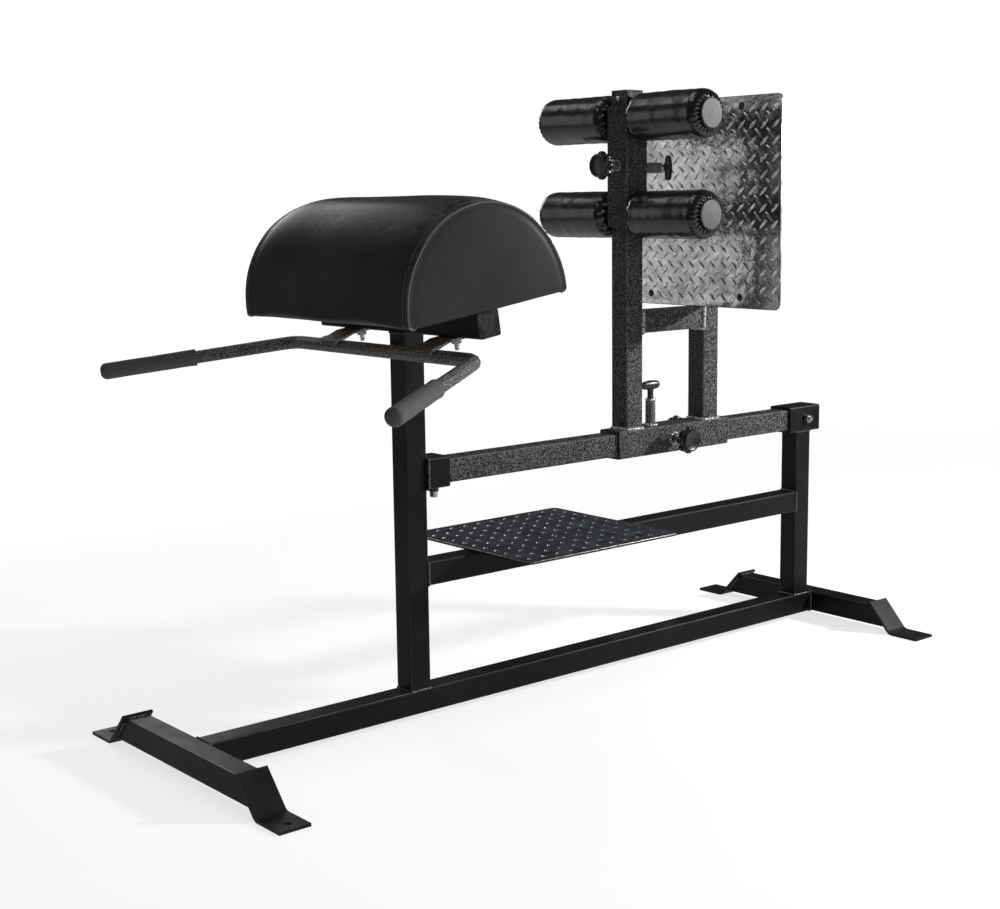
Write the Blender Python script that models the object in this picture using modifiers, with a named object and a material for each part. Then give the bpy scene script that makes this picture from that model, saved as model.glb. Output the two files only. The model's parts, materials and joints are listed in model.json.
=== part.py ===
"""Roman chair (glute-ham bench) with a sliding roller carriage.

Metres, +Z up. The origin is on the floor under the middle of the machine. +X runs
from the pad end (front) to the roller end (rear), and the machine is symmetric about
Y = 0 apart from its knobs. The pad and the handlebar share a frame that leans forward
with the pad: its own axes are U (towards the rear), Y and V (up, out of the saddle).
"""

import math

import bmesh
import bpy
from mathutils import Matrix, Vector

# Clearances and stock
GAP = 0.0003
TUBE = 0.050
TUBE_WALL = 0.003
TUBE_CORNER = 0.004
SLEEVE = 0.063
SLEEVE_WALL = 0.003
PLATE = 0.006
ROUND = 24

# Frame, along X
CROSS_X = 0.8849
FRONT_POST_X = -0.3717
REAR_POST_X = 0.8213
BASE_Z = 0.0388
MID_RAIL_Z = 0.3017
RAIL_Z = 0.5073

# Feet
FOOT_HALF = 0.348
FOOT_WIDTH = 0.064
FOOT_TOP_Y = 0.2110
FOOT_HEEL_Y = 0.2635
FOOT_LIP = 0.005
FOOT_BEND = 0.014
FOOT_HOLE = 0.0065
FOOT_HOLE_Y = 0.3245

# Top rail, its front bracket and its rear sleeve
BRACKET_LENGTH = 0.0530
REAR_SLEEVE_FRONT = 0.7618
REAR_SLEEVE_BACK = 0.8718
HOLE_PITCH = 0.050
RAIL_HOLE = 0.0065
RAIL_HOLES_FROM = -0.2392
RAIL_HOLES = 20
UPRIGHT_HOLES_FROM = 0.9134
UPRIGHT_HOLES = 5
BOLT = 0.006
BOLT_HEAD = 0.0085
BOLT_HEAD_HIGH = 0.012
LOCK_BOLT_X = 0.060
WELD_NUT = 0.011

# Step plate
STEP_X = -0.0159
STEP_LENGTH = 0.425
STEP_WIDTH = 0.399
STEP_PLATE = 0.005
STEP_CORNER = 0.012
CROSSBAR_WIDTH = 0.040
CROSSBAR = 0.003
CROSSBAR_HALF = 0.178
STEP_BOLT_X = 0.1358
STEP_BOLT_Y = 0.1565
COUNTERSINK = 0.0085
SCREW = 0.0045
SCREW_PAST = 0.008

# Pad saddle, leaning forward
PAD_TILT = math.radians(8.7)
SADDLE_Z = 0.7955
SADDLE_HALF = 0.259
PLUG = 0.003
BOARD = 0.012
BOARD_WIDTH = 0.330
BOARD_HALF = 0.245
PAD_RADIUS = 0.188
PAD_SKIRT = 0.008
PAD_HALF = 0.2735
PAD_LIP = 0.0014
PAD_CROWN = 0.014
PAD_SLICES = 8

# Handlebar, in the saddle's frame
BAR_U = -0.0707
BAR_V = -0.0258
BAR_RADIUS = 0.0135
BAR_BEND_Y = 0.301
BAR_BEND = 0.048
BAR_TIP_U = -0.4184
BAR_TIP_Y = 0.508
GRIP_RADIUS = 0.017
GRIP_LENGTH = 0.197
GRIP_ROOM = 0.008
BRACKET_Y = 0.156
BRACKET_WIDTH = 0.058
BRACKET_PLATE = 0.006
STRAP_BOLT = 0.0050
STRAP_NUT = 0.0098
STRAP_NUT_HIGH = 0.009
STRAP_WASHER = 0.0105
STRAP_WASHER_THICK = 0.002

# Carriage on the top rail
CARRIAGE_FRONT = 0.1838
CARRIAGE_BACK = 0.5358
LINER_LENGTH = 0.030
TALL_X = 0.2373
SHORT_X = 0.4835
TALL_TOP = 1.2730
SHORT_TOP = 1.2620
BRIDGE_Z = 0.7760
CAP = 0.005
TOE_X = 0.4550
TOE_PLATE = 0.005
TOE_STRAP_BACK = 0.4628
TOE_LOW = 0.8016
TOE_HIGH = 1.2660
TOE_HALF = 0.2525
TOE_BOLT_Y = 0.138
TOE_BOLT_LOW = 0.826
TOE_BOLT_HIGH = 1.244
TOE_SCREW = 0.018
STRAP_HEIGHT = 0.040
STRAP_HALF = 0.160
STOP_SCREW_Z = 1.2608
STOP_SCREW = 0.003
STOP_SCREW_HEAD = 0.0055

# Roller sleeve on the tall upright
ROLLER_SLEEVE_LOW = 0.9855
ROLLER_SLEEVE_HIGH = 1.2455
ROLLER_SLEEVE_WALL = 0.006
ROLLER_Z = (1.0120, 1.2195)
ROLLER_RADIUS = 0.052
ROLLER_ROUND = 0.024
ROLLER_INNER = 0.0325
ROLLER_OUTER = 0.2460
AXLE = 0.0125
AXLE_WALL = 0.003
AXLE_END = 0.236
ROLLER_BORE = 0.0132
DISC_RADIUS = 0.032

# Clamp knobs and pull pins
KNOB_RADIUS = 0.0305
KNOB_LOBES = 8
KNOB_THICK = 0.016
KNOB_CAP = 0.008
KNOB_CAP_RADIUS = 0.0255
KNOB_SCALLOP = 0.0045
KNOB_STANDOFF = 0.060
KNOB_HUB = 0.013
STUD = 0.006
NUT_RADIUS = 0.0105
NUT_HIGH = 0.010
HEX_HEAD = 0.008
NEAR_KNOB_X = 0.3548
FAR_KNOB_X = 0.4738
SLEEVE_KNOB_Z = 1.118
PIN_X = 0.3108
PIN_Z = 1.1134
PIN = 0.0052
PIN_STEM = 0.0045
PIN_COLLAR = 0.008
BARREL_LIP = 0.004
BARREL = 0.0115
BARREL_BORE = 0.0082
CARRIAGE_BARREL = 0.060
SLEEVE_BARREL = 0.070
CARRIAGE_T_RISE = 0.031
SLEEVE_T_RISE = 0.027
T_RADIUS = 0.0100
T_FLAT = 0.62
T_HUB = 0.0074
T_HALF = 0.0285
SPRING_WIRE = 0.0008
SPRING_TURNS = 6

SATIN = ("satin_black", (0.012, 0.012, 0.013), 0.42, 0.0)
HAMMER = ("hammertone", (0.045, 0.045, 0.047), 0.48, 0.3)
ZINC = ("zinc", (0.62, 0.62, 0.60), 0.30, 1.0)
STEEL = ("spring_steel", (0.35, 0.35, 0.35), 0.35, 1.0)
VINYL = ("black_vinyl", (0.012, 0.012, 0.013), 0.33, 0.0)
FOAM = ("grip_foam", (0.055, 0.055, 0.058), 0.85, 0.0)
PLASTIC = ("black_plastic", (0.010, 0.010, 0.011), 0.35, 0.0)
GREY = ("grey_plastic", (0.17, 0.17, 0.18), 0.50, 0.0)
TREAD = ("tread_plate", (0.10, 0.10, 0.105), 0.34, 0.8)
STEP = ("step_paint", (0.022, 0.022, 0.024), 0.36, 0.2)
WOOD = ("plywood", (0.33, 0.22, 0.12), 0.75, 0.0)

ORIGIN = Vector((FRONT_POST_X, 0, SADDLE_Z))
SADDLE = Matrix.Translation(ORIGIN) @ Matrix.Rotation(-PAD_TILT, 4, "Y")
X_AXIS = Vector((1, 0, 0))
Y_AXIS = Vector((0, 1, 0))
Z_AXIS = Vector((0, 0, 1))


# ---------------------------------------------------------------- building blocks


def start_scene():
    for old in list(bpy.data.objects):
        bpy.data.objects.remove(old, do_unlink=True)
    for name, hidden in (("roman_chair", False), ("cutters", True)):
        group = bpy.data.collections.new(name)
        bpy.context.scene.collection.children.link(group)
        group.hide_render = hidden


def material(spec):
    name, colour, roughness, metallic = spec
    found = bpy.data.materials.get(name)
    if found:
        return found
    made = bpy.data.materials.new(name)
    made.use_nodes = True
    shader = made.node_tree.nodes["Principled BSDF"]
    shader.inputs["Base Color"].default_value = (*colour, 1)
    shader.inputs["Roughness"].default_value = roughness
    shader.inputs["Metallic"].default_value = metallic
    return made


def place(name, mesh, matrix, spec):
    mesh.materials.clear()
    mesh.materials.append(material(spec))
    mesh.shade_smooth()
    mesh.set_sharp_from_angle(angle=math.radians(32))
    thing = bpy.data.objects.new(name, mesh)
    thing.matrix_world = matrix
    bpy.data.collections["roman_chair"].objects.link(thing)
    return thing


def facing(point, direction, across=None):
    """A frame at point whose Z is direction and whose X is as near across as can be."""
    z = Vector(direction).normalized()
    hint = Vector(across) if across else (Z_AXIS if abs(z.z) < 0.9 else X_AXIS)
    y = z.cross(hint).normalized()
    x = y.cross(z)
    turned_to = Matrix((x, y, z)).transposed().to_4x4()
    return Matrix.Translation(point) @ turned_to


def mesh_of_curve(name, curve, matrix, spec):
    """A curve's own solid as a mesh object, with its caps welded on."""
    drawn = bpy.data.objects.new(name + "_curve", curve)
    bpy.context.scene.collection.objects.link(drawn)
    graph = bpy.context.evaluated_depsgraph_get()
    mesh = bpy.data.meshes.new_from_object(drawn.evaluated_get(graph))
    bpy.data.objects.remove(drawn, do_unlink=True)
    bm = bmesh.new()
    bm.from_mesh(mesh)
    bmesh.ops.remove_doubles(bm, verts=bm.verts, dist=1e-5)
    bmesh.ops.recalc_face_normals(bm, faces=bm.faces)
    bm.to_mesh(mesh)
    bm.free()
    return place(name, mesh, matrix, spec)


def outline(name, loops, thick, matrix, spec):
    """Flat closed loops in a frame's XY plane, extruded by thick either side of it in all."""
    curve = bpy.data.curves.new(name, "CURVE")
    curve.dimensions = "2D"
    curve.fill_mode = "BOTH"
    curve.extrude = thick / 2
    for loop in loops:
        spline = curve.splines.new("POLY")
        spline.points.add(len(loop) - 1)
        for point, (x, y) in zip(spline.points, loop):
            point.co = (x, y, 0, 1)
        spline.use_cyclic_u = True
    return mesh_of_curve(name, curve, matrix, spec)


def arc(centre, radius, start, end, steps):
    """Points round an arc, angles in degrees, both ends included."""
    turns = [math.radians(start + (end - start) * i / steps) for i in range(steps + 1)]
    return [(centre[0] + radius * math.cos(t), centre[1] + radius * math.sin(t)) for t in turns]


def rounded(width, height, corner, steps=3):
    """A rectangle about the origin with round corners."""
    x, y = width / 2 - corner, height / 2 - corner
    centres = ((x, y), (-x, y), (-x, -y), (x, -y))
    points = []
    for quarter, centre in enumerate(centres):
        points += arc(centre, corner, 90 * quarter, 90 * quarter + 90, steps)
    return points


def box(name, low, high, spec=SATIN, matrix=None):
    bm = bmesh.new()
    bmesh.ops.create_cube(bm, size=1)
    size = Vector(high) - Vector(low)
    middle = (Vector(high) + Vector(low)) / 2
    bmesh.ops.scale(bm, vec=size, verts=bm.verts)
    bmesh.ops.translate(bm, vec=middle, verts=bm.verts)
    mesh = bpy.data.meshes.new(name)
    bm.to_mesh(mesh)
    bm.free()
    return place(name, mesh, matrix or Matrix(), spec)


def rod(name, radius, length, matrix, spec=ZINC, sides=ROUND):
    """A cylinder from a frame's origin along its Z. Six sides make a hexagon."""
    bm = bmesh.new()
    bmesh.ops.create_cone(
        bm,
        cap_ends=True,
        segments=sides,
        radius1=radius,
        radius2=radius,
        depth=length,
        matrix=Matrix.Translation((0, 0, length / 2)),
    )
    mesh = bpy.data.meshes.new(name)
    bm.to_mesh(mesh)
    bm.free()
    return place(name, mesh, matrix, spec)


def turned(name, profile, matrix, spec, sides=ROUND, ring=False):
    """A profile of (radius, height) points turned about a frame's Z.

    The profile runs from the top of the axis down its outer side, or round a ring.
    """
    bm = bmesh.new()
    points = [bm.verts.new((radius, 0, height)) for radius, height in profile]
    for first, second in zip(points, points[1:]):
        bm.edges.new((first, second))
    if ring:
        bm.edges.new((points[-1], points[0]))
    mesh = bpy.data.meshes.new(name)
    bm.to_mesh(mesh)
    bm.free()
    thing = place(name, mesh, matrix, spec)
    screw = thing.modifiers.new("turn", "SCREW")
    screw.steps = screw.render_steps = sides
    screw.use_merge_vertices = True
    screw.merge_threshold = 1e-5
    screw.use_smooth_shade = True
    return thing


def fixed_mesh(thing):
    """Applies an object's modifiers."""
    graph = bpy.context.evaluated_depsgraph_get()
    mesh = bpy.data.meshes.new_from_object(thing.evaluated_get(graph))
    thing.modifiers.clear()
    thing.data = mesh
    return thing


def combine(thing, others, operation):
    """Cuts or joins others with a thing and keeps the result as its mesh."""
    for other in others:
        bpy.data.collections["roman_chair"].objects.unlink(other)
        bpy.data.collections["cutters"].objects.link(other)
        other.hide_render = True
        other.display_type = "WIRE"
        change = thing.modifiers.new(operation.lower(), "BOOLEAN")
        change.operation = operation
        change.object = other
    bpy.context.view_layer.update()
    fixed_mesh(thing)
    for other in others:
        bpy.data.objects.remove(other, do_unlink=True)
    return thing


def cut(thing, *others):
    return combine(thing, others, "DIFFERENCE")


def join(thing, *others):
    return combine(thing, others, "UNION")


def square_tube(name, start, end, spec=SATIN, side=TUBE, wall=TUBE_WALL, across=None, frame=None):
    """A square tube, open at both ends, between two points of a frame."""
    start, end = Vector(start), Vector(end)
    matrix = (frame or Matrix()) @ facing((start + end) / 2, end - start, across)
    inside = side - 2 * wall
    loops = [
        rounded(side, side, TUBE_CORNER),
        rounded(inside, inside, max(TUBE_CORNER - wall, 0.001), 1),
    ]
    return outline(name, loops, (end - start).length, matrix, spec)


def countersunk(name, length, point, direction, spec=ZINC, extra=0.0):
    """A countersunk screw whose head is flush at point; direction runs down its shank."""
    head = COUNTERSINK + extra
    shank = SCREW + extra
    cone = [(0, extra), (head, extra), (head, 0), (shank, shank - head)]
    profile = [*cone, (shank, -length), (0, -length)]
    return turned(name, profile, facing(point, -Vector(direction)), spec, 16)


# ---------------------------------------------------------------- welded frame


def foot_slope():
    """The foot plates' lean from upright."""
    return math.atan2(FOOT_HEEL_Y - FOOT_TOP_Y, BASE_Z + TUBE / 2 - PLATE)


def cross_tubes():
    """The two floor tubes. Their ends are cut to the slope of the foot plates."""
    high = BASE_Z + TUBE / 2
    slope = foot_slope()
    for name, x in (("front_cross_tube", -CROSS_X), ("rear_cross_tube", CROSS_X)):
        reach = FOOT_HEEL_Y + 0.02
        tube = square_tube(name, (x, -reach, BASE_Z), (x, reach, BASE_Z))
        wedges = []
        for side in (-1, 1):
            wedge = box("wedge", (-0.1, 0, -0.2), (0.1, 0.2, 0.2), SATIN)
            wedge.matrix_world = Matrix.Translation((x, side * (FOOT_TOP_Y - GAP), high)) @ (
                Matrix.Rotation(0 if side > 0 else math.pi, 4, "Z") @ Matrix.Rotation(slope, 4, "X")
            )
            wedges.append(wedge)
        cut(tube, *wedges)


def foot_plates():
    """Bent strips: a lip above the tube's end, a slope down its cut, and a flange on the floor."""
    high = BASE_Z + TUBE / 2
    slope = foot_slope()
    down = Vector((math.sin(slope), -math.cos(slope)))
    out = Vector((math.cos(slope), math.sin(slope)))
    top = Vector((FOOT_TOP_Y, high)) - down * FOOT_LIP
    bend = 90 - math.degrees(slope)
    outside = FOOT_BEND + PLATE
    heel = FOOT_TOP_Y + math.tan(slope) * high
    centre = (heel + outside * math.tan(math.radians(bend) / 2), outside)
    under = arc(centre, outside, 270 - bend, 270, 4)
    over = arc(centre, FOOT_BEND, 270, 270 - bend, 4)
    loop = [tuple(top), *under, (FOOT_HALF, 0), (FOOT_HALF, PLATE), *over, tuple(top + out * PLATE)]
    for end, x in (("front", -CROSS_X), ("rear", CROSS_X)):
        for side, sign in (("near", -1), ("far", 1)):
            frame = facing((x, 0, 0), (sign, 0, 0), (0, sign, 0))
            plate = outline(f"{end}_foot_plate_{side}", [loop], FOOT_WIDTH, frame, SATIN)
            cut(plate, rod("hole", FOOT_HOLE, 0.1, facing((x, sign * FOOT_HOLE_Y, -0.05), Z_AXIS)))


def posts_and_rails():
    """The base rail, both posts and the middle rail, butted and welded."""
    top = BASE_Z + TUBE / 2
    square_tube(
        "base_rail",
        (-CROSS_X + TUBE / 2 + GAP, 0, BASE_Z),
        (CROSS_X - TUBE / 2 - GAP, 0, BASE_Z),
    )
    post = square_tube("front_post", (FRONT_POST_X, 0, top + GAP), (FRONT_POST_X, 0, SADDLE_Z + 0.02))
    cut(post, box("above", (-0.1, -0.1, -GAP), (0.1, 0.1, 0.1), SATIN, SADDLE))
    square_tube(
        "rear_post",
        (REAR_POST_X, 0, top + GAP),
        (REAR_POST_X, 0, RAIL_Z - SLEEVE / 2 - GAP),
    )
    square_tube(
        "mid_rail",
        (FRONT_POST_X + TUBE / 2 + GAP, 0, MID_RAIL_Z),
        (REAR_POST_X - TUBE / 2 - GAP, 0, MID_RAIL_Z),
    )


def top_rail():
    """The rail that the carriage slides on, with its row of pin holes, and what holds its ends."""
    bracket_front = FRONT_POST_X + TUBE / 2 + GAP
    bracket_back = bracket_front + BRACKET_LENGTH
    rail_back = REAR_SLEEVE_BACK - SLEEVE_WALL - GAP
    rail = square_tube("top_rail", (bracket_front + GAP, 0, RAIL_Z), (rail_back, 0, RAIL_Z), HAMMER)
    top = RAIL_Z + TUBE / 2
    cutters = []
    for i in range(RAIL_HOLES):
        x = RAIL_HOLES_FROM + i * HOLE_PITCH
        cutters.append(rod("hole", RAIL_HOLE, 0.01, facing((x, 0, top - 0.006), Z_AXIS), sides=12))
    bolt_y = facing((REAR_POST_X, -0.1, RAIL_Z), Y_AXIS)
    cutters.append(rod("bore", BOLT + GAP, 0.2, bolt_y, sides=16))
    lock_x = FRONT_POST_X + LOCK_BOLT_X
    lock = facing((lock_x, 0, RAIL_Z - SLEEVE / 2 - 0.05), Z_AXIS)
    cut(rail, *cutters)

    bracket = square_tube(
        "front_rail_bracket",
        (bracket_front, 0, RAIL_Z),
        (bracket_back, 0, RAIL_Z),
        side=SLEEVE,
        wall=(SLEEVE - TUBE) / 2 - GAP,
    )
    nut_low = RAIL_Z - SLEEVE / 2 - WELD_NUT
    nut = rod("nut", NUT_RADIUS, WELD_NUT + 0.001, facing((lock_x, 0, nut_low), Z_AXIS), SATIN, 6)
    join(bracket, nut)
    cut(bracket, rod("bore", BOLT + GAP, 0.1, lock, sides=16))
    lock_top = RAIL_Z - TUBE / 2 - GAP
    shank_low = nut_low - BOLT_HEAD_HIGH / 3
    shank_at = facing((lock_x, 0, shank_low), Z_AXIS)
    shank = rod("rail_lock_bolt", BOLT, lock_top - shank_low, shank_at, sides=16)
    edge = 0.002
    head = [(0, 0), (BOLT_HEAD, 0), (BOLT_HEAD, edge - BOLT_HEAD_HIGH)]
    head += [(BOLT_HEAD - edge, -BOLT_HEAD_HIGH), (0, -BOLT_HEAD_HIGH)]
    join(shank, turned("head", head, facing((lock_x, 0, nut_low - GAP), Z_AXIS), ZINC, 16))

    sleeve = square_tube(
        "rear_rail_sleeve",
        (REAR_SLEEVE_FRONT, 0, RAIL_Z),
        (REAR_SLEEVE_BACK, 0, RAIL_Z),
        side=SLEEVE,
        wall=(SLEEVE - TUBE) / 2 - GAP,
    )
    half = SLEEVE / 2 - 0.001
    end = box(
        "end",
        (REAR_SLEEVE_BACK - SLEEVE_WALL, -half, RAIL_Z - half),
        (REAR_SLEEVE_BACK - 0.0005, half, RAIL_Z + half),
    )
    join(sleeve, end)
    cut(sleeve, rod("bore", BOLT + GAP, 0.2, bolt_y, sides=16))
    side = SLEEVE / 2 + GAP
    past = NUT_HIGH + BOLT
    bolt_at = facing((REAR_POST_X, -side - past, RAIL_Z), Y_AXIS)
    bolt = rod("rail_cross_bolt", BOLT, 2 * side + past + HEX_HEAD / 2, bolt_at, sides=16)
    join(bolt, rod("head", NUT_RADIUS, HEX_HEAD, facing((REAR_POST_X, side, RAIL_Z), Y_AXIS), sides=6))
    nut_at = facing((REAR_POST_X, -side, RAIL_Z), -Y_AXIS)
    nut = rod("rail_cross_nut", NUT_RADIUS, NUT_HIGH, nut_at, sides=6)
    cut(nut, rod("bore", BOLT + GAP, 0.2, bolt_y, sides=16))


def step():
    """The punched step plate on two crossbars, each with its two countersunk screws."""
    rail_top = MID_RAIL_Z + TUBE / 2
    low = rail_top + GAP + CROSSBAR + GAP
    flat = facing((STEP_X, 0, low + STEP_PLATE / 2), Z_AXIS, X_AXIS)
    plate = outline("step_plate", [rounded(STEP_LENGTH, STEP_WIDTH, STEP_CORNER)], STEP_PLATE, flat, STEP)
    deep = STEP_PLATE + CROSSBAR + SCREW_PAST
    sinks = []
    for end, sign in (("front", -1), ("rear", 1)):
        x = STEP_X + sign * STEP_BOLT_X
        half = CROSSBAR_WIDTH / 2
        bar = box(
            f"step_crossbar_{end}",
            (x - half, -CROSSBAR_HALF, rail_top + GAP),
            (x + half, CROSSBAR_HALF, rail_top + GAP + CROSSBAR),
        )
        screws = []
        for y in (-STEP_BOLT_Y, STEP_BOLT_Y):
            point = (x, y, low + STEP_PLATE)
            screws.append(countersunk("screw", deep, point, -Z_AXIS))
            sinks.append(countersunk("sink", deep, point, -Z_AXIS, extra=GAP))
        join(bar, *screws)
    cut(plate, *sinks)


# ---------------------------------------------------------------- pad and handlebar


def saddle():
    """The leaning cross tube on the front post, its two end plugs, the pad's board and the pad."""
    middle = GAP + TUBE / 2
    tube = square_tube(
        "pad_cross_tube", (0, -SADDLE_HALF, middle), (0, SADDLE_HALF, middle), frame=SADDLE
    )
    bores = []
    for y in (-BRACKET_Y, BRACKET_Y):
        bore_at = SADDLE @ facing((0, y, -0.01), Z_AXIS)
        bores.append(rod("bore", STRAP_BOLT + GAP, 0.02, bore_at, sides=16))
    cut(tube, *bores)
    inside = TUBE - 2 * TUBE_WALL - 4 * GAP
    for side, sign in (("near", -1), ("far", 1)):
        face = sign * (SADDLE_HALF + GAP)
        cap_at = SADDLE @ facing((0, face + sign * PLUG / 2, middle), (0, sign, 0))
        cap = outline(f"saddle_plug_{side}", [rounded(TUBE, TUBE, TUBE_CORNER)], PLUG, cap_at, PLASTIC)
        stem_at = SADDLE @ facing((0, face - sign * 0.0055, middle), (0, sign, 0))
        join(cap, outline("stem", [rounded(inside, inside, 0.002, 1)], 0.0115, stem_at, PLASTIC))

    bottom = 2 * GAP + TUBE
    box(
        "pad_board",
        (-BOARD_WIDTH / 2, -BOARD_HALF, bottom),
        (BOARD_WIDTH / 2, BOARD_HALF, bottom + BOARD),
        WOOD,
        SADDLE,
    )
    pad_low = bottom + PAD_LIP
    centre = (0, pad_low + PAD_SKIRT)
    loop = [(-PAD_RADIUS, pad_low), (PAD_RADIUS, pad_low), *arc(centre, PAD_RADIUS, 0, 180, 28)]
    sideways = SADDLE @ facing((0, 0, 0), -Y_AXIS, X_AXIS)
    pad = crowned(outline("pad", [loop], 2 * PAD_HALF, sideways, VINYL))
    pocket = box(
        "pocket",
        (-BOARD_WIDTH / 2 - 2 * GAP, -BOARD_HALF - 2 * GAP, bottom - 0.02),
        (BOARD_WIDTH / 2 + 2 * GAP, BOARD_HALF + 2 * GAP, bottom + BOARD + 2 * GAP),
        VINYL,
        SADDLE,
    )
    cut(pad, pocket)


def crowned(pad):
    """Slices the half-round pad across its width and swells the middle of its rolled surface."""
    to_saddle = SADDLE.inverted() @ pad.matrix_world
    bm = bmesh.new()
    bm.from_mesh(pad.data)
    bmesh.ops.transform(bm, matrix=to_saddle, verts=bm.verts)
    for i in range(1, PAD_SLICES):
        across = PAD_HALF * (2 * i / PAD_SLICES - 1)
        everything = [*bm.verts, *bm.edges, *bm.faces]
        bmesh.ops.bisect_plane(bm, geom=everything, plane_co=(0, across, 0), plane_no=Y_AXIS)
    axis_v = 2 * GAP + TUBE + PAD_LIP + PAD_SKIRT
    for vert in bm.verts:
        out = Vector((vert.co.x, 0, max(vert.co.z - axis_v, 0)))
        if out.length > PAD_RADIUS / 2:
            swell = PAD_CROWN * (1 - (vert.co.y / PAD_HALF) ** 2)
            vert.co += out.normalized() * swell * (0.3 + 0.7 * out.z / out.length)
    bmesh.ops.transform(bm, matrix=to_saddle.inverted(), verts=bm.verts)
    bm.to_mesh(pad.data)
    bm.free()
    return pad


def bar_route():
    """The handlebar's centre line: straight across, then out and forward on both sides."""
    bend = Vector((BAR_U, BAR_BEND_Y))
    arm = (Vector((BAR_TIP_U, BAR_TIP_Y)) - bend).normalized()
    turn = math.acos(arm.y)
    tangent = BAR_BEND * math.tan(turn / 2)
    centre = (BAR_U - BAR_BEND, BAR_BEND_Y - tangent)
    round_bend = arc(centre, BAR_BEND, 0, math.degrees(turn), 7)
    tip = Vector((BAR_TIP_U, BAR_TIP_Y)) - arm * GRIP_ROOM
    half = [*round_bend, tuple(tip)]
    route = [(u, -y, BAR_V) for u, y in reversed(half)] + [(u, y, BAR_V) for u, y in half]
    return route, arm


def handlebar():
    """The bent bar, its foam grips, and the two straps and bolts that hang it from the saddle."""
    route, arm = bar_route()
    curve = bpy.data.curves.new("handlebar", "CURVE")
    curve.dimensions = "3D"
    curve.bevel_depth = BAR_RADIUS
    curve.bevel_resolution = 3
    curve.use_fill_caps = True
    spline = curve.splines.new("POLY")
    spline.points.add(len(route) - 1)
    for point, place_at in zip(spline.points, route):
        point.co = (*place_at, 1)
    mesh_of_curve("handlebar", curve, SADDLE, HAMMER)

    for side, sign in (("near", -1), ("far", 1)):
        along = Vector((arm.x, sign * arm.y, 0))
        tip = Vector((BAR_TIP_U, sign * BAR_TIP_Y, BAR_V))
        start = tip - along * GRIP_LENGTH
        bore = BAR_RADIUS + GAP
        end = GRIP_LENGTH
        nose = GRIP_RADIUS * 0.55
        profile = [(0, end)]
        profile += arc((GRIP_RADIUS - nose, end - nose), nose, 90, 0, 4)
        profile += [(GRIP_RADIUS, 0.003), (GRIP_RADIUS - 0.002, 0), (bore, 0)]
        profile += [(bore, GRIP_LENGTH - GRIP_ROOM + 2 * GAP), (0, GRIP_LENGTH - GRIP_ROOM + 2 * GAP)]
        turned(f"grip_{side}", profile, SADDLE @ facing(start, along), FOAM)
        handlebar_strap(side, sign)


def handlebar_strap(side, sign):
    """A strap bolted under the saddle tube, stepped down and curled over the bar."""
    half = BRACKET_PLATE / 2
    reach = BAR_RADIUS + GAP + half
    spine = [(0.024, -GAP - half), (-0.040, -GAP - half)]
    spine += arc((BAR_U, BAR_V), reach, 70, 165, 8)
    upper, lower = [], []
    for i, (u, v) in enumerate(spine):
        before = Vector(spine[max(i - 1, 0)])
        after = Vector(spine[min(i + 1, len(spine) - 1)])
        run = (after - before).normalized()
        upper.append((u + run.y * half, v - run.x * half))
        lower.append((u - run.y * half, v + run.x * half))
    y = sign * BRACKET_Y
    sideways = SADDLE @ facing((0, y, 0), -Y_AXIS, X_AXIS)
    strap = outline(f"handlebar_strap_{side}", [upper + lower[::-1]], BRACKET_WIDTH, sideways, HAMMER)
    below = -GAP - BRACKET_PLATE - GAP
    cut(strap, rod("bore", STRAP_BOLT + GAP, 0.04, SADDLE @ facing((0, y, -0.03), Z_AXIS), sides=16))
    down = SADDLE @ facing((0, y, 0.010), -Z_AXIS)
    bolt = rod(f"handlebar_bolt_{side}", STRAP_BOLT, 0.040, down, sides=16)
    nut_at = SADDLE @ facing((0, y, below - 0.9 * STRAP_WASHER_THICK), -Z_AXIS)
    nut = rod("nut", STRAP_NUT, STRAP_NUT_HIGH, nut_at, sides=6)
    washer_at = SADDLE @ facing((0, y, below), -Z_AXIS)
    washer = rod("washer", STRAP_WASHER, STRAP_WASHER_THICK, washer_at, sides=20)
    join(bolt, washer, nut)


# ---------------------------------------------------------------- sliding carriage


def knob(name, point, direction):
    """A lobed hand knob on a stud. The point is on the sleeve's face, the direction points out."""
    lobes = []
    steps = KNOB_LOBES * 5
    for i in range(steps):
        turn = 2 * math.pi * i / steps
        radius = KNOB_RADIUS - KNOB_SCALLOP * (0.5 - 0.5 * math.cos(KNOB_LOBES * turn)) ** 2
        lobes.append((radius * math.cos(turn), radius * math.sin(turn)))
    out = Vector(direction)
    front = Vector(point) + out * (KNOB_STANDOFF - KNOB_CAP)
    back = front - out * KNOB_THICK
    head = outline(name, [lobes], KNOB_THICK, facing((front + back) / 2, out), PLASTIC)
    bevel = head.modifiers.new("round", "BEVEL")
    bevel.width = 0.003
    bevel.segments = 1
    bevel.angle_limit = math.radians(60)
    fixed_mesh(head)
    rim = KNOB_CAP_RADIUS
    dish = [(0, 0.0050), (rim - 0.010, 0.0055), (rim - 0.004, KNOB_CAP)]
    dish += [(rim - 0.001, 0.0070), (rim, 0.004)]
    cap = turned("cap", [*dish, (rim, -0.001), (0, -0.001)], facing(front, out), PLASTIC)
    fixed_mesh(cap)
    hub = rod("hub", KNOB_HUB, 0.012, facing(back - out * 0.011, out), PLASTIC)
    tip = SLEEVE / 2 - TUBE / 2 - 2 * GAP
    reach = KNOB_STANDOFF - KNOB_CAP - 0.004
    stud = rod("stud", STUD, reach + tip, facing(Vector(point) - out * tip, out), ZINC, 12)
    return join(head, cap, hub, stud)


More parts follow.
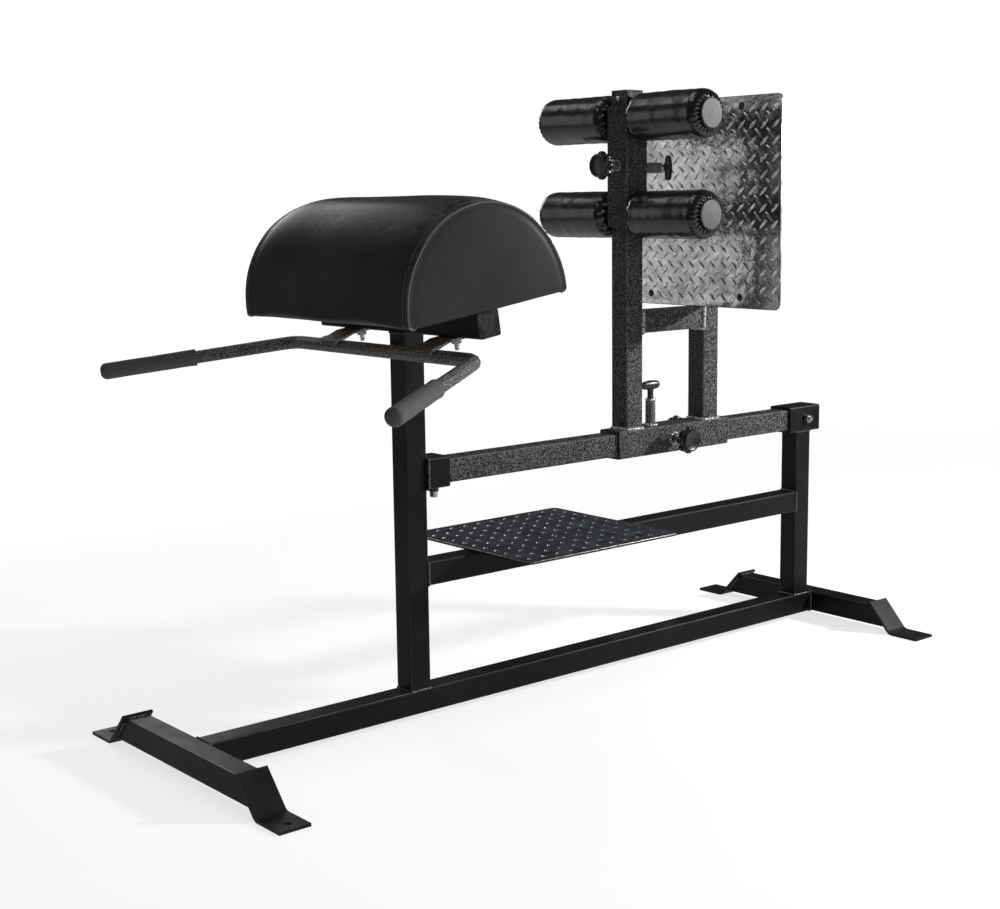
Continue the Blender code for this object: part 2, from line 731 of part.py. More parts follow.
def pull_pin(name, sizes, point, direction, across, spring_name):
    """A spring pin: a barrel on the sleeve, a stem with a T-handle through it, and its coil.

    The sizes are the barrel's length and the handle's rise above it.
    """
    out = Vector(direction)
    base = Vector(point)
    frame = facing(base, out, across)
    lip = BARREL_LIP
    collar = PIN_COLLAR
    top, rise = sizes
    barrel = turned(
        name.replace("pin", "pin_barrel"),
        [
            (BARREL, GAP),
            (BARREL_BORE, GAP),
            (BARREL_BORE, top - lip),
            (PIN_STEM + GAP * 2, top - lip),
            (PIN_STEM + GAP * 2, top + lip / 2),
            (BARREL - 0.002, top + lip / 2),
            (BARREL, top - lip / 2),
        ],
        frame,
        HAMMER,
        20,
        ring=True,
    )
    tip = SLEEVE / 2 - TUBE / 2 - 2 * GAP
    stem = turned(
        name,
        [
            (0, top + rise),
            (T_HUB, top + rise),
            (T_HUB, top + lip / 2 + 2 * GAP),
            (PIN_STEM, top + lip / 2 + 2 * GAP),
            (PIN_STEM, collar),
            (BARREL_BORE - 2 * GAP, collar),
            (BARREL_BORE - 2 * GAP, collar - 0.004),
            (PIN, collar - 0.004),
            (PIN, 0.0015 - tip),
            (PIN - 0.0015, -tip),
            (0, -tip),
        ],
        frame,
        PLASTIC,
        20,
    )
    fixed_mesh(stem)
    edge = 0.0035
    half = T_HALF
    bar = [(0, half), (T_RADIUS - edge, half)]
    bar += [(T_RADIUS - edge * 0.3, half - edge * 0.3), (T_RADIUS, half - edge)]
    bar += [(r, -z) for r, z in reversed(bar)]
    flat = Matrix.Scale(T_FLAT, 4, Y_AXIS)
    handle = turned("bar", bar, facing(base + out * (top + rise), across) @ flat, PLASTIC, 20)
    fixed_mesh(handle)
    join(stem, handle)
    coil(spring_name, frame, collar + SPRING_WIRE + GAP, top - lip - SPRING_WIRE - GAP)
    return barrel


def coil(name, frame, low, high):
    """A compression spring's wire between two heights of a frame."""
    curve = bpy.data.curves.new(name, "CURVE")
    curve.dimensions = "3D"
    curve.bevel_depth = SPRING_WIRE
    curve.bevel_resolution = 0
    curve.use_fill_caps = True
    spline = curve.splines.new("POLY")
    steps = SPRING_TURNS * 8
    spline.points.add(steps)
    radius = (PIN_STEM + BARREL_BORE) / 2
    for i, point in enumerate(spline.points):
        turn = 2 * math.pi * i / 8
        height = low + (high - low) * i / steps
        point.co = (radius * math.cos(turn), radius * math.sin(turn), height, 1)
    mesh_of_curve(name, curve, frame, STEEL)


def sleeve_bosses(sleeve, bosses, pin_point, pin_direction):
    """Welds a threaded boss on a sleeve for each knob, and bores the boss and the pin's hole."""
    for point, direction in bosses:
        seat = Vector(point) - Vector(direction) * 0.0005
        join(sleeve, rod("boss", NUT_RADIUS, WELD_NUT, facing(seat, direction), HAMMER, 6))
    bores = []
    for point, direction in bosses:
        start = Vector(point) - Vector(direction) * 0.010
        bores.append(rod("bore", STUD + GAP, 0.04, facing(start, direction), sides=16))
    start = Vector(pin_point) - Vector(pin_direction) * 0.010
    bores.append(rod("bore", PIN + 2 * GAP, 0.02, facing(start, pin_direction), sides=16))
    cut(sleeve, *bores)


def carriage():
    """The sleeve on the top rail with its liners, knobs and pull pin."""
    sleeve = square_tube(
        "carriage_sleeve",
        (CARRIAGE_FRONT, 0, RAIL_Z),
        (CARRIAGE_BACK, 0, RAIL_Z),
        HAMMER,
        SLEEVE,
        SLEEVE_WALL,
    )
    side = SLEEVE / 2
    near = (NEAR_KNOB_X, -side, RAIL_Z)
    far = (FAR_KNOB_X, side, RAIL_Z)
    top = (PIN_X, 0, RAIL_Z + side)
    sleeve_bosses(sleeve, [(near, -Y_AXIS), (far, Y_AXIS)], top, Z_AXIS)
    knob("carriage_knob_near", near, -Y_AXIS)
    knob("carriage_knob_far", far, Y_AXIS)
    pull_pin("carriage_pin", (CARRIAGE_BARREL, CARRIAGE_T_RISE), top, Z_AXIS, X_AXIS, "carriage_spring")

    inside = SLEEVE - 2 * SLEEVE_WALL - 2 * GAP
    bore = TUBE + 2 * GAP
    for end, x, sign in (("front", CARRIAGE_FRONT, 1), ("rear", CARRIAGE_BACK, -1)):
        outer = x + sign * 0.001
        square_tube(
            f"carriage_liner_{end}",
            (outer, 0, RAIL_Z),
            (outer + sign * LINER_LENGTH, 0, RAIL_Z),
            PLASTIC,
            inside,
            (inside - bore) / 2,
        )


def uprights():
    """The tall upright with its pin holes and cap, the short one, and the tube between them."""
    foot = RAIL_Z + SLEEVE / 2 + GAP
    tall = square_tube("tall_upright", (TALL_X, 0, foot), (TALL_X, 0, TALL_TOP), HAMMER)
    cutters = []
    for i in range(UPRIGHT_HOLES):
        point = (TALL_X + TUBE / 2 - 0.006, 0, UPRIGHT_HOLES_FROM + i * HOLE_PITCH)
        cutters.append(rod("hole", RAIL_HOLE, 0.01, facing(point, X_AXIS), sides=16))
    face = TALL_X - TUBE / 2
    bore_at = facing((face - 0.01, 0, STOP_SCREW_Z), X_AXIS)
    cutters.append(rod("bore", STOP_SCREW + GAP, 0.02, bore_at, sides=12))
    cut(tall, *cutters)
    rim = STOP_SCREW_HEAD
    dome = [(0, 0.004), (0.55 * rim, 0.0035), (0.95 * rim, 0.002), (rim, 0), (0, 0)]
    head_at = facing((face - 0.0005, 0, STOP_SCREW_Z), -X_AXIS)
    head = fixed_mesh(turned("stop_screw", dome, head_at, ZINC, 16))
    shank_at = facing((face - 0.001, 0, STOP_SCREW_Z), X_AXIS)
    join(head, rod("shank", STOP_SCREW, 0.012, shank_at, sides=12))
    cap = facing((TALL_X, 0, TALL_TOP + GAP + CAP / 2), Z_AXIS)
    lid = outline("upright_cap", [rounded(TUBE, TUBE, TUBE_CORNER)], CAP, cap, HAMMER)
    inside = TUBE - 2 * TUBE_WALL - 4 * GAP
    stem = facing((TALL_X, 0, TALL_TOP - 0.0035), Z_AXIS)
    join(lid, outline("stem", [rounded(inside, inside, 0.002, 1)], 0.0085, stem, HAMMER))

    short = square_tube("short_upright", (SHORT_X, 0, foot), (SHORT_X, 0, SHORT_TOP), HAMMER)
    half = TUBE / 2 - 0.001
    lid_low = SHORT_TOP - 0.003
    join(short, box("lid", (SHORT_X - half, -half, lid_low), (SHORT_X + half, half, SHORT_TOP - 0.0005)))
    notches = []
    for z in (TOE_BOLT_LOW, TOE_BOLT_HIGH):
        tall_half = STRAP_HEIGHT / 2 + GAP
        notches.append(
            box("notch", (SHORT_X - 0.05, -0.1, z - tall_half), (TOE_STRAP_BACK + GAP, 0.1, z + tall_half))
        )
    cut(short, *notches)
    square_tube(
        "upright_bridge",
        (TALL_X + TUBE / 2 + GAP, 0, BRIDGE_Z),
        (SHORT_X - TUBE / 2 - GAP, 0, BRIDGE_Z),
        HAMMER,
    )


def toe_plate():
    """The tread plate for the feet, and the two straps that carry it, each with its two screws."""
    front = TOE_X - TOE_PLATE / 2
    flat = facing((TOE_X, 0, (TOE_LOW + TOE_HIGH) / 2), -X_AXIS, Y_AXIS)
    plate = outline(
        "toe_plate", [rounded(2 * TOE_HALF, TOE_HIGH - TOE_LOW, STEP_CORNER)], TOE_PLATE, flat, TREAD
    )
    strap_front = TOE_X + TOE_PLATE / 2 + GAP
    sinks = []
    for level, z in (("lower", TOE_BOLT_LOW), ("upper", TOE_BOLT_HIGH)):
        half = STRAP_HEIGHT / 2
        strap = box(
            f"toe_plate_strap_{level}",
            (strap_front, -STRAP_HALF, z - half),
            (TOE_STRAP_BACK, STRAP_HALF, z + half),
            HAMMER,
        )
        screws = []
        for y in (-TOE_BOLT_Y, TOE_BOLT_Y):
            screws.append(countersunk("screw", TOE_SCREW, (front, y, z), X_AXIS))
            sinks.append(countersunk("sink", TOE_SCREW, (front, y, z), X_AXIS, extra=GAP))
        join(strap, *screws)
    cut(plate, *sinks)


# ---------------------------------------------------------------- roller sleeve


def roller_sleeve():
    """The sleeve on the tall upright with four stub axles, its knob and its pull pin."""
    sleeve = square_tube(
        "roller_sleeve",
        (TALL_X, 0, ROLLER_SLEEVE_LOW),
        (TALL_X, 0, ROLLER_SLEEVE_HIGH),
        HAMMER,
        SLEEVE,
        ROLLER_SLEEVE_WALL,
    )
    side = SLEEVE / 2
    stubs = []
    for z in ROLLER_Z:
        for sign in (-1, 1):
            start = side - 0.001
            matrix = facing((TALL_X, sign * (start + AXLE_END) / 2, z), (0, sign, 0))
            loops = [arc((0, 0), AXLE, 0, 345, 23), arc((0, 0), AXLE - AXLE_WALL, 0, 330, 11)]
            stubs.append(outline("stub", loops, AXLE_END - start, matrix, HAMMER))
    join(sleeve, *stubs)
    front = (TALL_X - side, 0, SLEEVE_KNOB_Z)
    back = (TALL_X + side, 0, PIN_Z)
    sleeve_bosses(sleeve, [(front, -X_AXIS)], back, X_AXIS)
    knob("sleeve_knob", front, -X_AXIS)
    pull_pin("sleeve_pin", (SLEEVE_BARREL, SLEEVE_T_RISE), back, X_AXIS, Z_AXIS, "sleeve_spring")


def rollers():
    """Four foam rollers on the stub axles, each with a grey disc plugged into its outer end."""
    length = ROLLER_OUTER - ROLLER_INNER
    corner = ROLLER_RADIUS - ROLLER_ROUND
    profile = arc((corner, length - ROLLER_ROUND), ROLLER_ROUND, 90, 0, 3)
    profile += arc((corner, ROLLER_ROUND), ROLLER_ROUND, 0, -90, 3)
    profile += [(ROLLER_BORE, 0), (ROLLER_BORE, length)]
    plug = ROLLER_BORE - GAP
    disc = [(0, 0.0045), (DISC_RADIUS - 0.002, 0.0035), (DISC_RADIUS, 0.002), (DISC_RADIUS, GAP)]
    disc += [(plug, GAP), (plug, AXLE_END - ROLLER_OUTER + GAP), (0, AXLE_END - ROLLER_OUTER + GAP)]
    for level, z in zip(("low", "top"), ROLLER_Z):
        for side, sign in (("near", -1), ("far", 1)):
            out = (0, sign, 0)
            inner = facing((TALL_X, sign * ROLLER_INNER, z), out)
            outer = facing((TALL_X, sign * ROLLER_OUTER, z), out)
            turned(f"roller_{level}_{side}", profile, inner, VINYL, ring=True)
            turned(f"roller_disc_{level}_{side}", disc, outer, GREY)


def build():
    start_scene()
    cross_tubes()
    foot_plates()
    posts_and_rails()
    top_rail()
    step()
    saddle()
    handlebar()
    carriage()
    uprights()
    toe_plate()
    roller_sleeve()
    rollers()


build()
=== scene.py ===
"""Looks of the roman chair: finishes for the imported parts, and finer pieces over them.

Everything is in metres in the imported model's own frame: +X runs from the pad end to the
roller end, +Y to the far side, +Z up. The pad and the handlebar lean forward together, so
they are shaped in the saddle's frame (U to the rear, Y, V up).
"""

import json
import math
import random

import bmesh
import bpy
from mathutils import Matrix, Vector, noise


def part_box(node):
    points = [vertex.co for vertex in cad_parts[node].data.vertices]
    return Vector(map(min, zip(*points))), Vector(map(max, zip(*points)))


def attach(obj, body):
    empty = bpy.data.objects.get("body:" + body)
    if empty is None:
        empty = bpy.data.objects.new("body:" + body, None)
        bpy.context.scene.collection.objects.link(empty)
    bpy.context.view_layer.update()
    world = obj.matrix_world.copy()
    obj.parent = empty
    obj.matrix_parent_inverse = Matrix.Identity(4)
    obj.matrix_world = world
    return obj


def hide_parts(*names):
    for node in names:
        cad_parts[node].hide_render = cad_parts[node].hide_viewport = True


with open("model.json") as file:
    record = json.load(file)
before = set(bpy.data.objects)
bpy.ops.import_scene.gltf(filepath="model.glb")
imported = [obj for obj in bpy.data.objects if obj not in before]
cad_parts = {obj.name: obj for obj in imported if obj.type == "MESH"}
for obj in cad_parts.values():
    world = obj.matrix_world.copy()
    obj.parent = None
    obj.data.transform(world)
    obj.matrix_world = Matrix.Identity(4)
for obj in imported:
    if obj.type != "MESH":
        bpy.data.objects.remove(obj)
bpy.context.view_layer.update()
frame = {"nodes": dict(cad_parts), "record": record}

TAU = 2 * math.pi
X_AXIS = Vector((1, 0, 0))
Y_AXIS = Vector((0, 1, 0))
Z_AXIS = Vector((0, 0, 1))

# Camera
CAMERA_AT = Vector((-2.2616, -2.5475, 1.0460))
CAMERA_YAW = math.radians(50.144)
CAMERA_DOWN = math.radians(9.003)
CAMERA_ROLL = math.radians(-0.721)
CAMERA_LENS = 57.69

# Studio
FLOOR_GLOW = 0.73
GLOW_REACH = (1.8, 5.5)
FLOOR_BOUNCE = 0.30
BOUNCE_REACH = (1.6, 3.6)
AMBIENT = 0.06
LIGHTS = (  # name, place, what it points at, size and power
    ("key", (2.35, -1.75, 1.50), (0.2, 0, 0.75), (0.24, 0.24), 92),
    ("fill", (-0.3, -3.5, 1.3), (0.1, 0, 0.8), (1.6, 1.4), 20),
    ("left", (-3.2, 3.7, 1.5), (0.4, 0, 1.0), (2.0, 2.6), 12),
    ("back", (0.45, 3.7, 2.3), (0, 0, 0.6), (1.5, 1.6), 32),
    ("high", (-0.5, 2.2, 3.2), (-0.4, 0, 0.9), (1.4, 0.4), 3),
    ("top", (-0.6, 0.6, 3.6), (0, 0, 0.6), (2.4, 1.2), 14),
)

# Tubes and fittings, as part.py has them
TUBE = 0.050
SLEEVE = 0.063
CORNER = 0.004
POST_X = -0.3717
REAR_POST_X = 0.8213
CROSS_X = 0.8849
BASE_TOP = 0.0638
MID_RAIL_Z = 0.3017
RAIL_Z = 0.5073
TALL_X = 0.2373
SHORT_X = 0.4835
BRIDGE_Z = 0.7760
FOOT_TOP = 0.2110
FOOT_HEEL = 0.2635
FOOT_FLOOR = 0.006
CARRIAGE_PIN_AT = Vector((0.3108, 0, RAIL_Z + SLEEVE / 2))
SLEEVE_PIN_AT = Vector((TALL_X + SLEEVE / 2, 0, 1.1134))
CARRIAGE_KNOB_NEAR_AT = Vector((0.3548, -SLEEVE / 2, RAIL_Z))
CARRIAGE_KNOB_FAR_AT = Vector((0.4738, SLEEVE / 2, RAIL_Z))
SLEEVE_KNOB_AT = Vector((TALL_X - SLEEVE / 2, 0, 1.118))

# Pad, in the saddle's frame
SADDLE_AT = Vector((POST_X, 0, 0.7955))
SADDLE_TILT = math.radians(8.7)
SADDLE = Matrix.Translation(SADDLE_AT) @ Matrix.Rotation(-SADDLE_TILT, 4, "Y")
PAD_LOW = 0.052
PAD_CENTRE = 0.060
PAD_RADIUS = 0.189
PAD_HALF = 0.2735
PAD_CROWN = 0.014
PAD_FULLNESS = 7
PAD_DROOP = 0.006
PAD_WRAP = 0.013
PIPING = 0.0021
PAD_BULGE = 0.0045
PAD_EDGE = 0.0035
BOARD_HALF_U = 0.166
BOARD_HALF_Y = 0.2464
BOARD_TOP = 0.0642
STITCH_ROWS = (0.0065, 0.0135)
STITCH_PITCH = 0.0046
STITCH_HALF = 0.0016
THREAD_RADIUS = 0.0008

# Handlebar grips, in the saddle's frame
BAR_V = -0.0258
BAR_BEND = Vector((-0.0707, 0.301))
BAR_TIP = Vector((-0.4184, 0.508))
GRIP_RADIUS = 0.017
GRIP_LENGTH = 0.197
BAR_RADIUS = 0.0135

# Rollers
ROLLER_Z = {"low": 1.0120, "top": 1.2195}
ROLLER_RADIUS = 0.052
ROLLER_INNER = 0.0325
ROLLER_OUTER = 0.2460
SHOULDER = 0.024
ROLLER_SIDES = 192
INNER_PLEATS = 12
OUTER_PLEATS = 26
INNER_FOLD = 0.0112
OUTER_FOLD = 0.0080
ROLLER_CREASE = 0.00075
ROLLER_SLACK = 0.0011
ROLLER_WAIST = 0.0009

# Toe plate and step plate, with their rims, raised bars and punched buttons
TOE_FACE = 0.4525
TOE_SCREWS = [(y, z) for y in (-0.138, 0.138) for z in (0.826, 1.244)]
PLATE_CORNER = 0.012
RIM = 0.0009
TREAD_PITCH_Y = 0.0330
TREAD_PITCH_Z = 0.0360
TREAD_ROWS = 28
TREAD_COLUMNS = 16
TREAD_START_Y = 0.0160
TREAD_START_Z = 0.0270
TREAD_MARGIN = 0.012
TREAD_SCREW_GAP = 0.0195
TREAD_LENGTH = 0.0285
TREAD_WIDTH = 0.0060
TREAD_HIGH = 0.0023
TREAD_TURN = math.radians(45)
STEP_PITCH_X = 0.038
STEP_PITCH_Y = 0.0346
STEP_ROWS = 11
STEP_START = 0.023
STEP_SCREW_X = 0.1358
STEP_SCREW_Y = 0.1565
STEP_SCREW_GAP = 0.0155
BUMP_RADIUS = 0.0046
BUMP_HIGH = 0.0021

# Weld beads
BEAD_STEP = 0.00115
FRAME_BEAD = 0.0028
CARRIAGE_BEAD = 0.0050
ROLLER_BEAD = 0.0014
BARREL_RADIUS = 0.0118
BOSS_RADIUS = 0.0112
AXLE_RADIUS = 0.0128

# Knobs and pull pins
KNOB_STANDOFF = 0.060
KNOB_THICK = 0.016
KNOB_FACE = 0.008
KNOB_SCALLOP = 0.0050
KNOB_LOBES = 8
BOSS_HIGH = 0.011
T_HALF = 0.0285
T_RADIUS = 0.0108
T_FLAT = 0.62
STUD_PITCH = 0.00175
STUD_CORE = 0.0054
STUD_RADIUS = 0.0060
CARRIAGE_BARREL = 0.060
CARRIAGE_RISE = 0.031
SLEEVE_BARREL = 0.070
SLEEVE_RISE = 0.027


# ---- finishes


def opaque(colour):
    """A grey, or a colour tuple, as the four numbers a socket takes."""
    return (*colour, 1) if isinstance(colour, tuple) else (colour, colour, colour, 1)


class Finish:
    """A Principled material, with short ways to add noise, ramps and bump to it."""

    def __init__(self, name, colour, roughness, metallic=0.0, specular=0.5):
        self.made = bpy.data.materials.new("look_" + name)
        self.made.use_nodes = True
        self.tree = self.made.node_tree
        self.shader = self.tree.nodes["Principled BSDF"]
        self.shader.inputs["Base Color"].default_value = opaque(colour)
        self.shader.inputs["Roughness"].default_value = roughness
        self.shader.inputs["Metallic"].default_value = metallic
        self.shader.inputs["Specular IOR Level"].default_value = specular
        self.place = self.node("ShaderNodeTexCoord").outputs["Object"]
        self.relief = None

    def node(self, kind, **inputs):
        made = self.tree.nodes.new(kind)
        for name, value in inputs.items():
            made.inputs[name.replace("_", " ")].default_value = value
        return made

    def link(self, source, target):
        self.tree.links.new(source, target)

    def mapped(self, along=None, **values):
        """The object's coordinates, or others, turned or scaled."""
        mapping = self.node("ShaderNodeMapping", **values)
        self.link(along or self.place, mapping.inputs["Vector"])
        return mapping.outputs["Vector"]

    def noise(self, scale, detail=3.0, roughness=0.55, along=None):
        made = self.node("ShaderNodeTexNoise", Scale=scale, Detail=detail, Roughness=roughness)
        self.link(along or self.place, made.inputs["Vector"])
        return made.outputs["Fac"]

    def pebbles(self, scale):
        made = self.node("ShaderNodeTexVoronoi", Scale=scale)
        made.feature = "SMOOTH_F1"
        self.link(self.place, made.inputs["Vector"])
        return made.outputs["Distance"]

    def ramp(self, value, *stops):
        """Maps a value between two (position, grey) stops."""
        made = self.node("ShaderNodeValToRGB")
        for stop, (at, grey) in zip(made.color_ramp.elements, stops):
            stop.position = at
            stop.color = opaque(grey)
        self.link(value, made.inputs["Fac"])
        return made.outputs["Color"]

    def mask(self, value, low, high):
        """0 where a value is low, 1 where it is high."""
        return self.ramp(value, (low, 0.0), (high, 1.0))

    def math(self, operation, first, second):
        made = self.node("ShaderNodeMath")
        made.operation = operation
        for slot, value in zip(made.inputs, (first, second)):
            if isinstance(value, (int, float)):
                slot.default_value = value
            else:
                self.link(value, slot)
        return made.outputs["Value"]

    def times(self, first, second):
        return self.math("MULTIPLY", first, second)

    def mix(self, share, first, second):
        """A colour between two, each a colour tuple, a grey or a socket."""
        made = self.node("ShaderNodeMix")
        made.data_type = "RGBA"
        for slot, value in zip(made.inputs[6:8], (first, second)):
            if isinstance(value, (tuple, int, float)):
                slot.default_value = opaque(value)
            else:
                self.link(value, slot)
        self.link(share, made.inputs[0])
        return made.outputs[2]

    def normal(self):
        """The three parts of the surface's normal."""
        parts = self.node("ShaderNodeSeparateXYZ")
        self.link(self.node("ShaderNodeNewGeometry").outputs["Normal"], parts.inputs["Vector"])
        return parts.outputs

    def upward(self, low=0.75, high=0.95):
        """1 on faces that look up, 0 on the others."""
        return self.mask(self.normal()["Z"], low, high)

    def edges(self):
        """1 on the rounded corners of the square tubes, where the normal leaves every axis."""
        parts = self.normal()
        sizes = [self.math("ABSOLUTE", parts[axis], 0) for axis in "XYZ"]
        most = self.math("MAXIMUM", self.math("MAXIMUM", sizes[0], sizes[1]), sizes[2])
        return self.ramp(most, (0.84, 1.0), (0.975, 0.0))

    def streaks(self, fine, coarse, turn):
        """Noise drawn out into streaks that lean by a turn about X."""
        turned = self.mapped(Rotation=(turn, 0, 0))
        return self.noise(1.0, 3, 0.6, self.mapped(turned, Scale=(fine, coarse, fine)))

    def paint(self, colour):
        self.link(colour, self.shader.inputs["Base Color"])

    def metal(self, share):
        self.link(share, self.shader.inputs["Metallic"])

    def rough(self, value, smooth, dull):
        """Roughness that goes from smooth to dull over the middle of a noise."""
        self.link(self.ramp(value, (0.3, smooth), (0.7, dull)), self.shader.inputs["Roughness"])

    def bump(self, height, strength, distance):
        """Adds a bump to those below it."""
        made = self.node("ShaderNodeBump", Strength=strength, Distance=distance)
        self.link(height, made.inputs["Height"])
        if self.relief:
            self.link(self.relief, made.inputs["Normal"])
        self.relief = made.outputs["Normal"]
        self.link(self.relief, self.shader.inputs["Normal"])


def satin_black(name="satin_black", dust=0.0, edge_wear_and_highlight=0.30, light=1.25):
    """Smooth black paint with a little orange peel. dust lies on its top faces, and rub pales its
    edges: partly scuffed paint and partly a painted highlight along the corners. A round or
    slanted part has no rub, because edges() would take all of it for an edge.
    """
    look = Finish(name, 0.0065, 0.42, specular=0.15)
    smear = look.noise(9, 4, 0.6)
    colour = look.mix(look.mask(smear, 0.35, 0.75), 0.0035 * light, 0.0075 * light)
    # Paler corners: partly scuffed paint, partly a painted highlight along the tube edges.
    wear_and_sheen = look.ramp(look.noise(6, 3, 0.6), (0.38, 0.40), (0.62, 1.0))
    paler = look.times(wear_and_sheen, look.edges())
    colour = look.mix(look.times(paler, edge_wear_and_highlight), colour, 0.22)
    if dust:
        speck = look.times(look.noise(120, 5, 0.75), look.noise(9, 3, 0.5))
        pale_marks = look.times(look.mask(speck, 0.26, 0.36), look.upward())
        colour = look.mix(look.times(pale_marks, dust), colour, 0.12)
    look.paint(colour)
    look.rough(look.noise(14, 5, 0.65), 0.30, 0.46)
    look.bump(look.noise(260, 2, 0.5), 0.12, 0.0006)
    return look.made


def hammertone(name="hammertone", light=1.0, edge_wear_and_highlight=0.30, ground=1.0):
    """Dark hammered powder coat: shallow pebbles with metal flecks between them. ground lightens
    the paint, light the flecks, and rub pales the tube edges: partly scuffed paint, partly a
    painted highlight along the corners.
    """
    look = Finish(name, 0.030, 0.45, specular=0.07)
    grain = look.noise(400, 3, 0.8)
    fleck = look.mask(look.noise(375, 2, 0.85), 0.47, 0.61)
    cloud = look.noise(12, 3, 0.6)
    base = look.mix(look.mask(cloud, 0.3, 0.7), 0.004 * ground, 0.008 * ground)
    spotted = look.mix(fleck, base, 0.195 * light)
    # Paler corners: partly scuffed paint, partly a painted highlight along the tube edges.
    wear_and_sheen = look.ramp(look.noise(9, 3, 0.6), (0.40, 0.35), (0.60, 1.0))
    paler = look.times(wear_and_sheen, look.edges())
    look.paint(look.mix(look.times(paler, edge_wear_and_highlight), spotted, 0.40 * light))
    look.metal(look.times(fleck, 0.12))
    look.rough(grain, 0.36, 0.56)
    look.bump(look.pebbles(270), 0.9, 0.0016)
    look.bump(grain, 0.5, 0.0010)
    return look.made


def zinc():
    look = Finish("zinc", 0.62, 0.26, metallic=1.0)
    grime = look.noise(160, 4, 0.6)
    look.paint(look.mix(look.mask(grime, 0.35, 0.75), 0.70, 0.34))
    look.rough(look.noise(420, 3, 0.6), 0.18, 0.42)
    look.bump(look.noise(900, 2, 0.5), 0.15, 0.0003)
    return look.made


def spring_steel():
    look = Finish("spring_steel", 0.35, 0.33, metallic=1.0)
    look.rough(look.noise(700, 3, 0.6), 0.25, 0.45)
    look.bump(look.noise(1200, 2, 0.5), 0.1, 0.0002)
    return look.made


def leather():
    """Pad vinyl: a soft sheen, and drawn-out streaks on its upper front painted paler, partly
    scuffing and partly a painted highlight.
    """
    look = Finish("pad_vinyl", 0.046, 0.34, specular=0.028)
    scuff_and_highlight_streaks = look.mask(look.streaks(170, 9, math.radians(38)), 0.44, 0.60)
    paler = look.mask(look.noise(6.5, 3, 0.55), 0.38, 0.72)
    patch = look.mask(look.noise(3.5, 3, 0.6), 0.42, 0.56)
    # The paler streaks keep to faces that look up and forward: partly scuffing, partly a painted
    # highlight.
    pale_marks = look.times(look.times(scuff_and_highlight_streaks, patch), look.upward(0.58, 0.70))
    look.paint(look.mix(pale_marks, look.mix(paler, 0.0390, 0.0500), 0.120))
    look.link(look.ramp(pale_marks, (0.0, 0.36), (0.8, 0.24)), look.shader.inputs["Roughness"])
    look.bump(look.noise(260, 2, 0.5), 0.03, 0.0004)
    return look.made


def roller_vinyl(name="roller_vinyl", painted_highlight=0.0):
    """Glossy black vinyl pulled over foam. extra lightens it: on the piping, a painted highlight."""
    look = Finish(name, 0.007, 0.25, specular=0.80)
    look.paint(look.mix(look.noise(40, 3, 0.6), 0.0060 + painted_highlight, 0.0125 + painted_highlight))
    look.rough(look.noise(30, 2, 0.5), 0.19, 0.30)
    look.bump(look.noise(300, 2, 0.5), 0.03, 0.0004)
    return look.made


def grip_foam():
    look = Finish("grip_foam", 0.090, 0.82, specular=0.15)
    look.paint(look.mix(look.noise(55, 4, 0.6), 0.095, 0.145))
    look.rough(look.noise(300, 3, 0.6), 0.76, 0.9)
    look.bump(look.noise(1100, 3, 0.7), 0.35, 0.0005)
    return look.made


def black_plastic():
    look = Finish("black_plastic", 0.009, 0.30, specular=0.5)
    look.paint(look.mix(look.noise(60, 3, 0.6), 0.0065, 0.0130))
    look.rough(look.noise(90, 4, 0.6), 0.22, 0.40)
    look.bump(look.noise(800, 2, 0.5), 0.08, 0.0004)
    return look.made


def grey_plastic():
    """Grainy moulded discs."""
    look = Finish("grey_plastic", 0.22, 0.52, specular=0.4)
    grain = look.noise(900, 3, 0.7)
    look.paint(look.mix(look.mask(grain, 0.35, 0.65), 0.014, 0.066))
    look.rough(look.noise(200, 3, 0.6), 0.44, 0.62)
    look.bump(grain, 0.45, 0.0005)
    return look.made


def tread_metal():
    """Dark bright-rolled plate whose slight waves break up what it mirrors."""
    look = Finish("tread_metal", 0.30, 0.22, metallic=1.0)
    cloud = look.noise(9, 4, 0.6)
    look.paint(look.mix(look.mask(cloud, 0.36, 0.64), 0.38, 0.82))
    look.rough(look.noise(60, 4, 0.6), 0.14, 0.30)
    look.bump(look.noise(30, 2, 0.4), 0.60, 0.0045)
    look.bump(look.noise(190, 3, 0.6), 0.30, 0.0012)
    return look.made


def step_paint():
    """Dark blue-grey gloss with paler patches on top that are painted reflection, and near black
    on the sides and below as painted shade.
    """
    look = Finish("step_paint", (0.020, 0.024, 0.030), 0.30, specular=0.45)
    top = look.upward()
    # Paler patches on the top faces: painted reflection.
    patch = look.mask(look.noise(26, 5, 0.7), 0.40, 0.68)
    colour = look.mix(patch, (0.020, 0.025, 0.032), (0.088, 0.100, 0.122))
    # Near black on the sides and underside: painted shade.
    look.paint(look.mix(top, (0.006, 0.006, 0.007), colour))
    look.metal(look.times(top, 0.35))
    look.rough(look.noise(85, 4, 0.65), 0.22, 0.46)
    look.bump(look.noise(320, 3, 0.6), 0.30, 0.0008)
    return look.made


def rubbed_metal(name, dark, light, rough):
    """Bare metal where paint has rubbed off, on raised buttons, bars and rims."""
    look = Finish(name, 0.5, rough, metallic=1.0)
    look.paint(look.mix(look.mask(look.noise(130, 4, 0.7), 0.38, 0.64), dark, light))
    look.rough(look.noise(260, 3, 0.6), rough - 0.08, rough + 0.10)
    look.bump(look.noise(420, 3, 0.6), 0.25, 0.0005)
    return look.made


def plywood():
    look = Finish("plywood", (0.085, 0.066, 0.046), 0.75)
    grain = look.noise(60, 4, 0.6, look.mapped(Scale=(1.0, 0.06, 1.0)))
    look.paint(look.mix(grain, (0.22, 0.14, 0.07), (0.42, 0.29, 0.16)))
    look.bump(grain, 0.3, 0.0006)
    return look.made


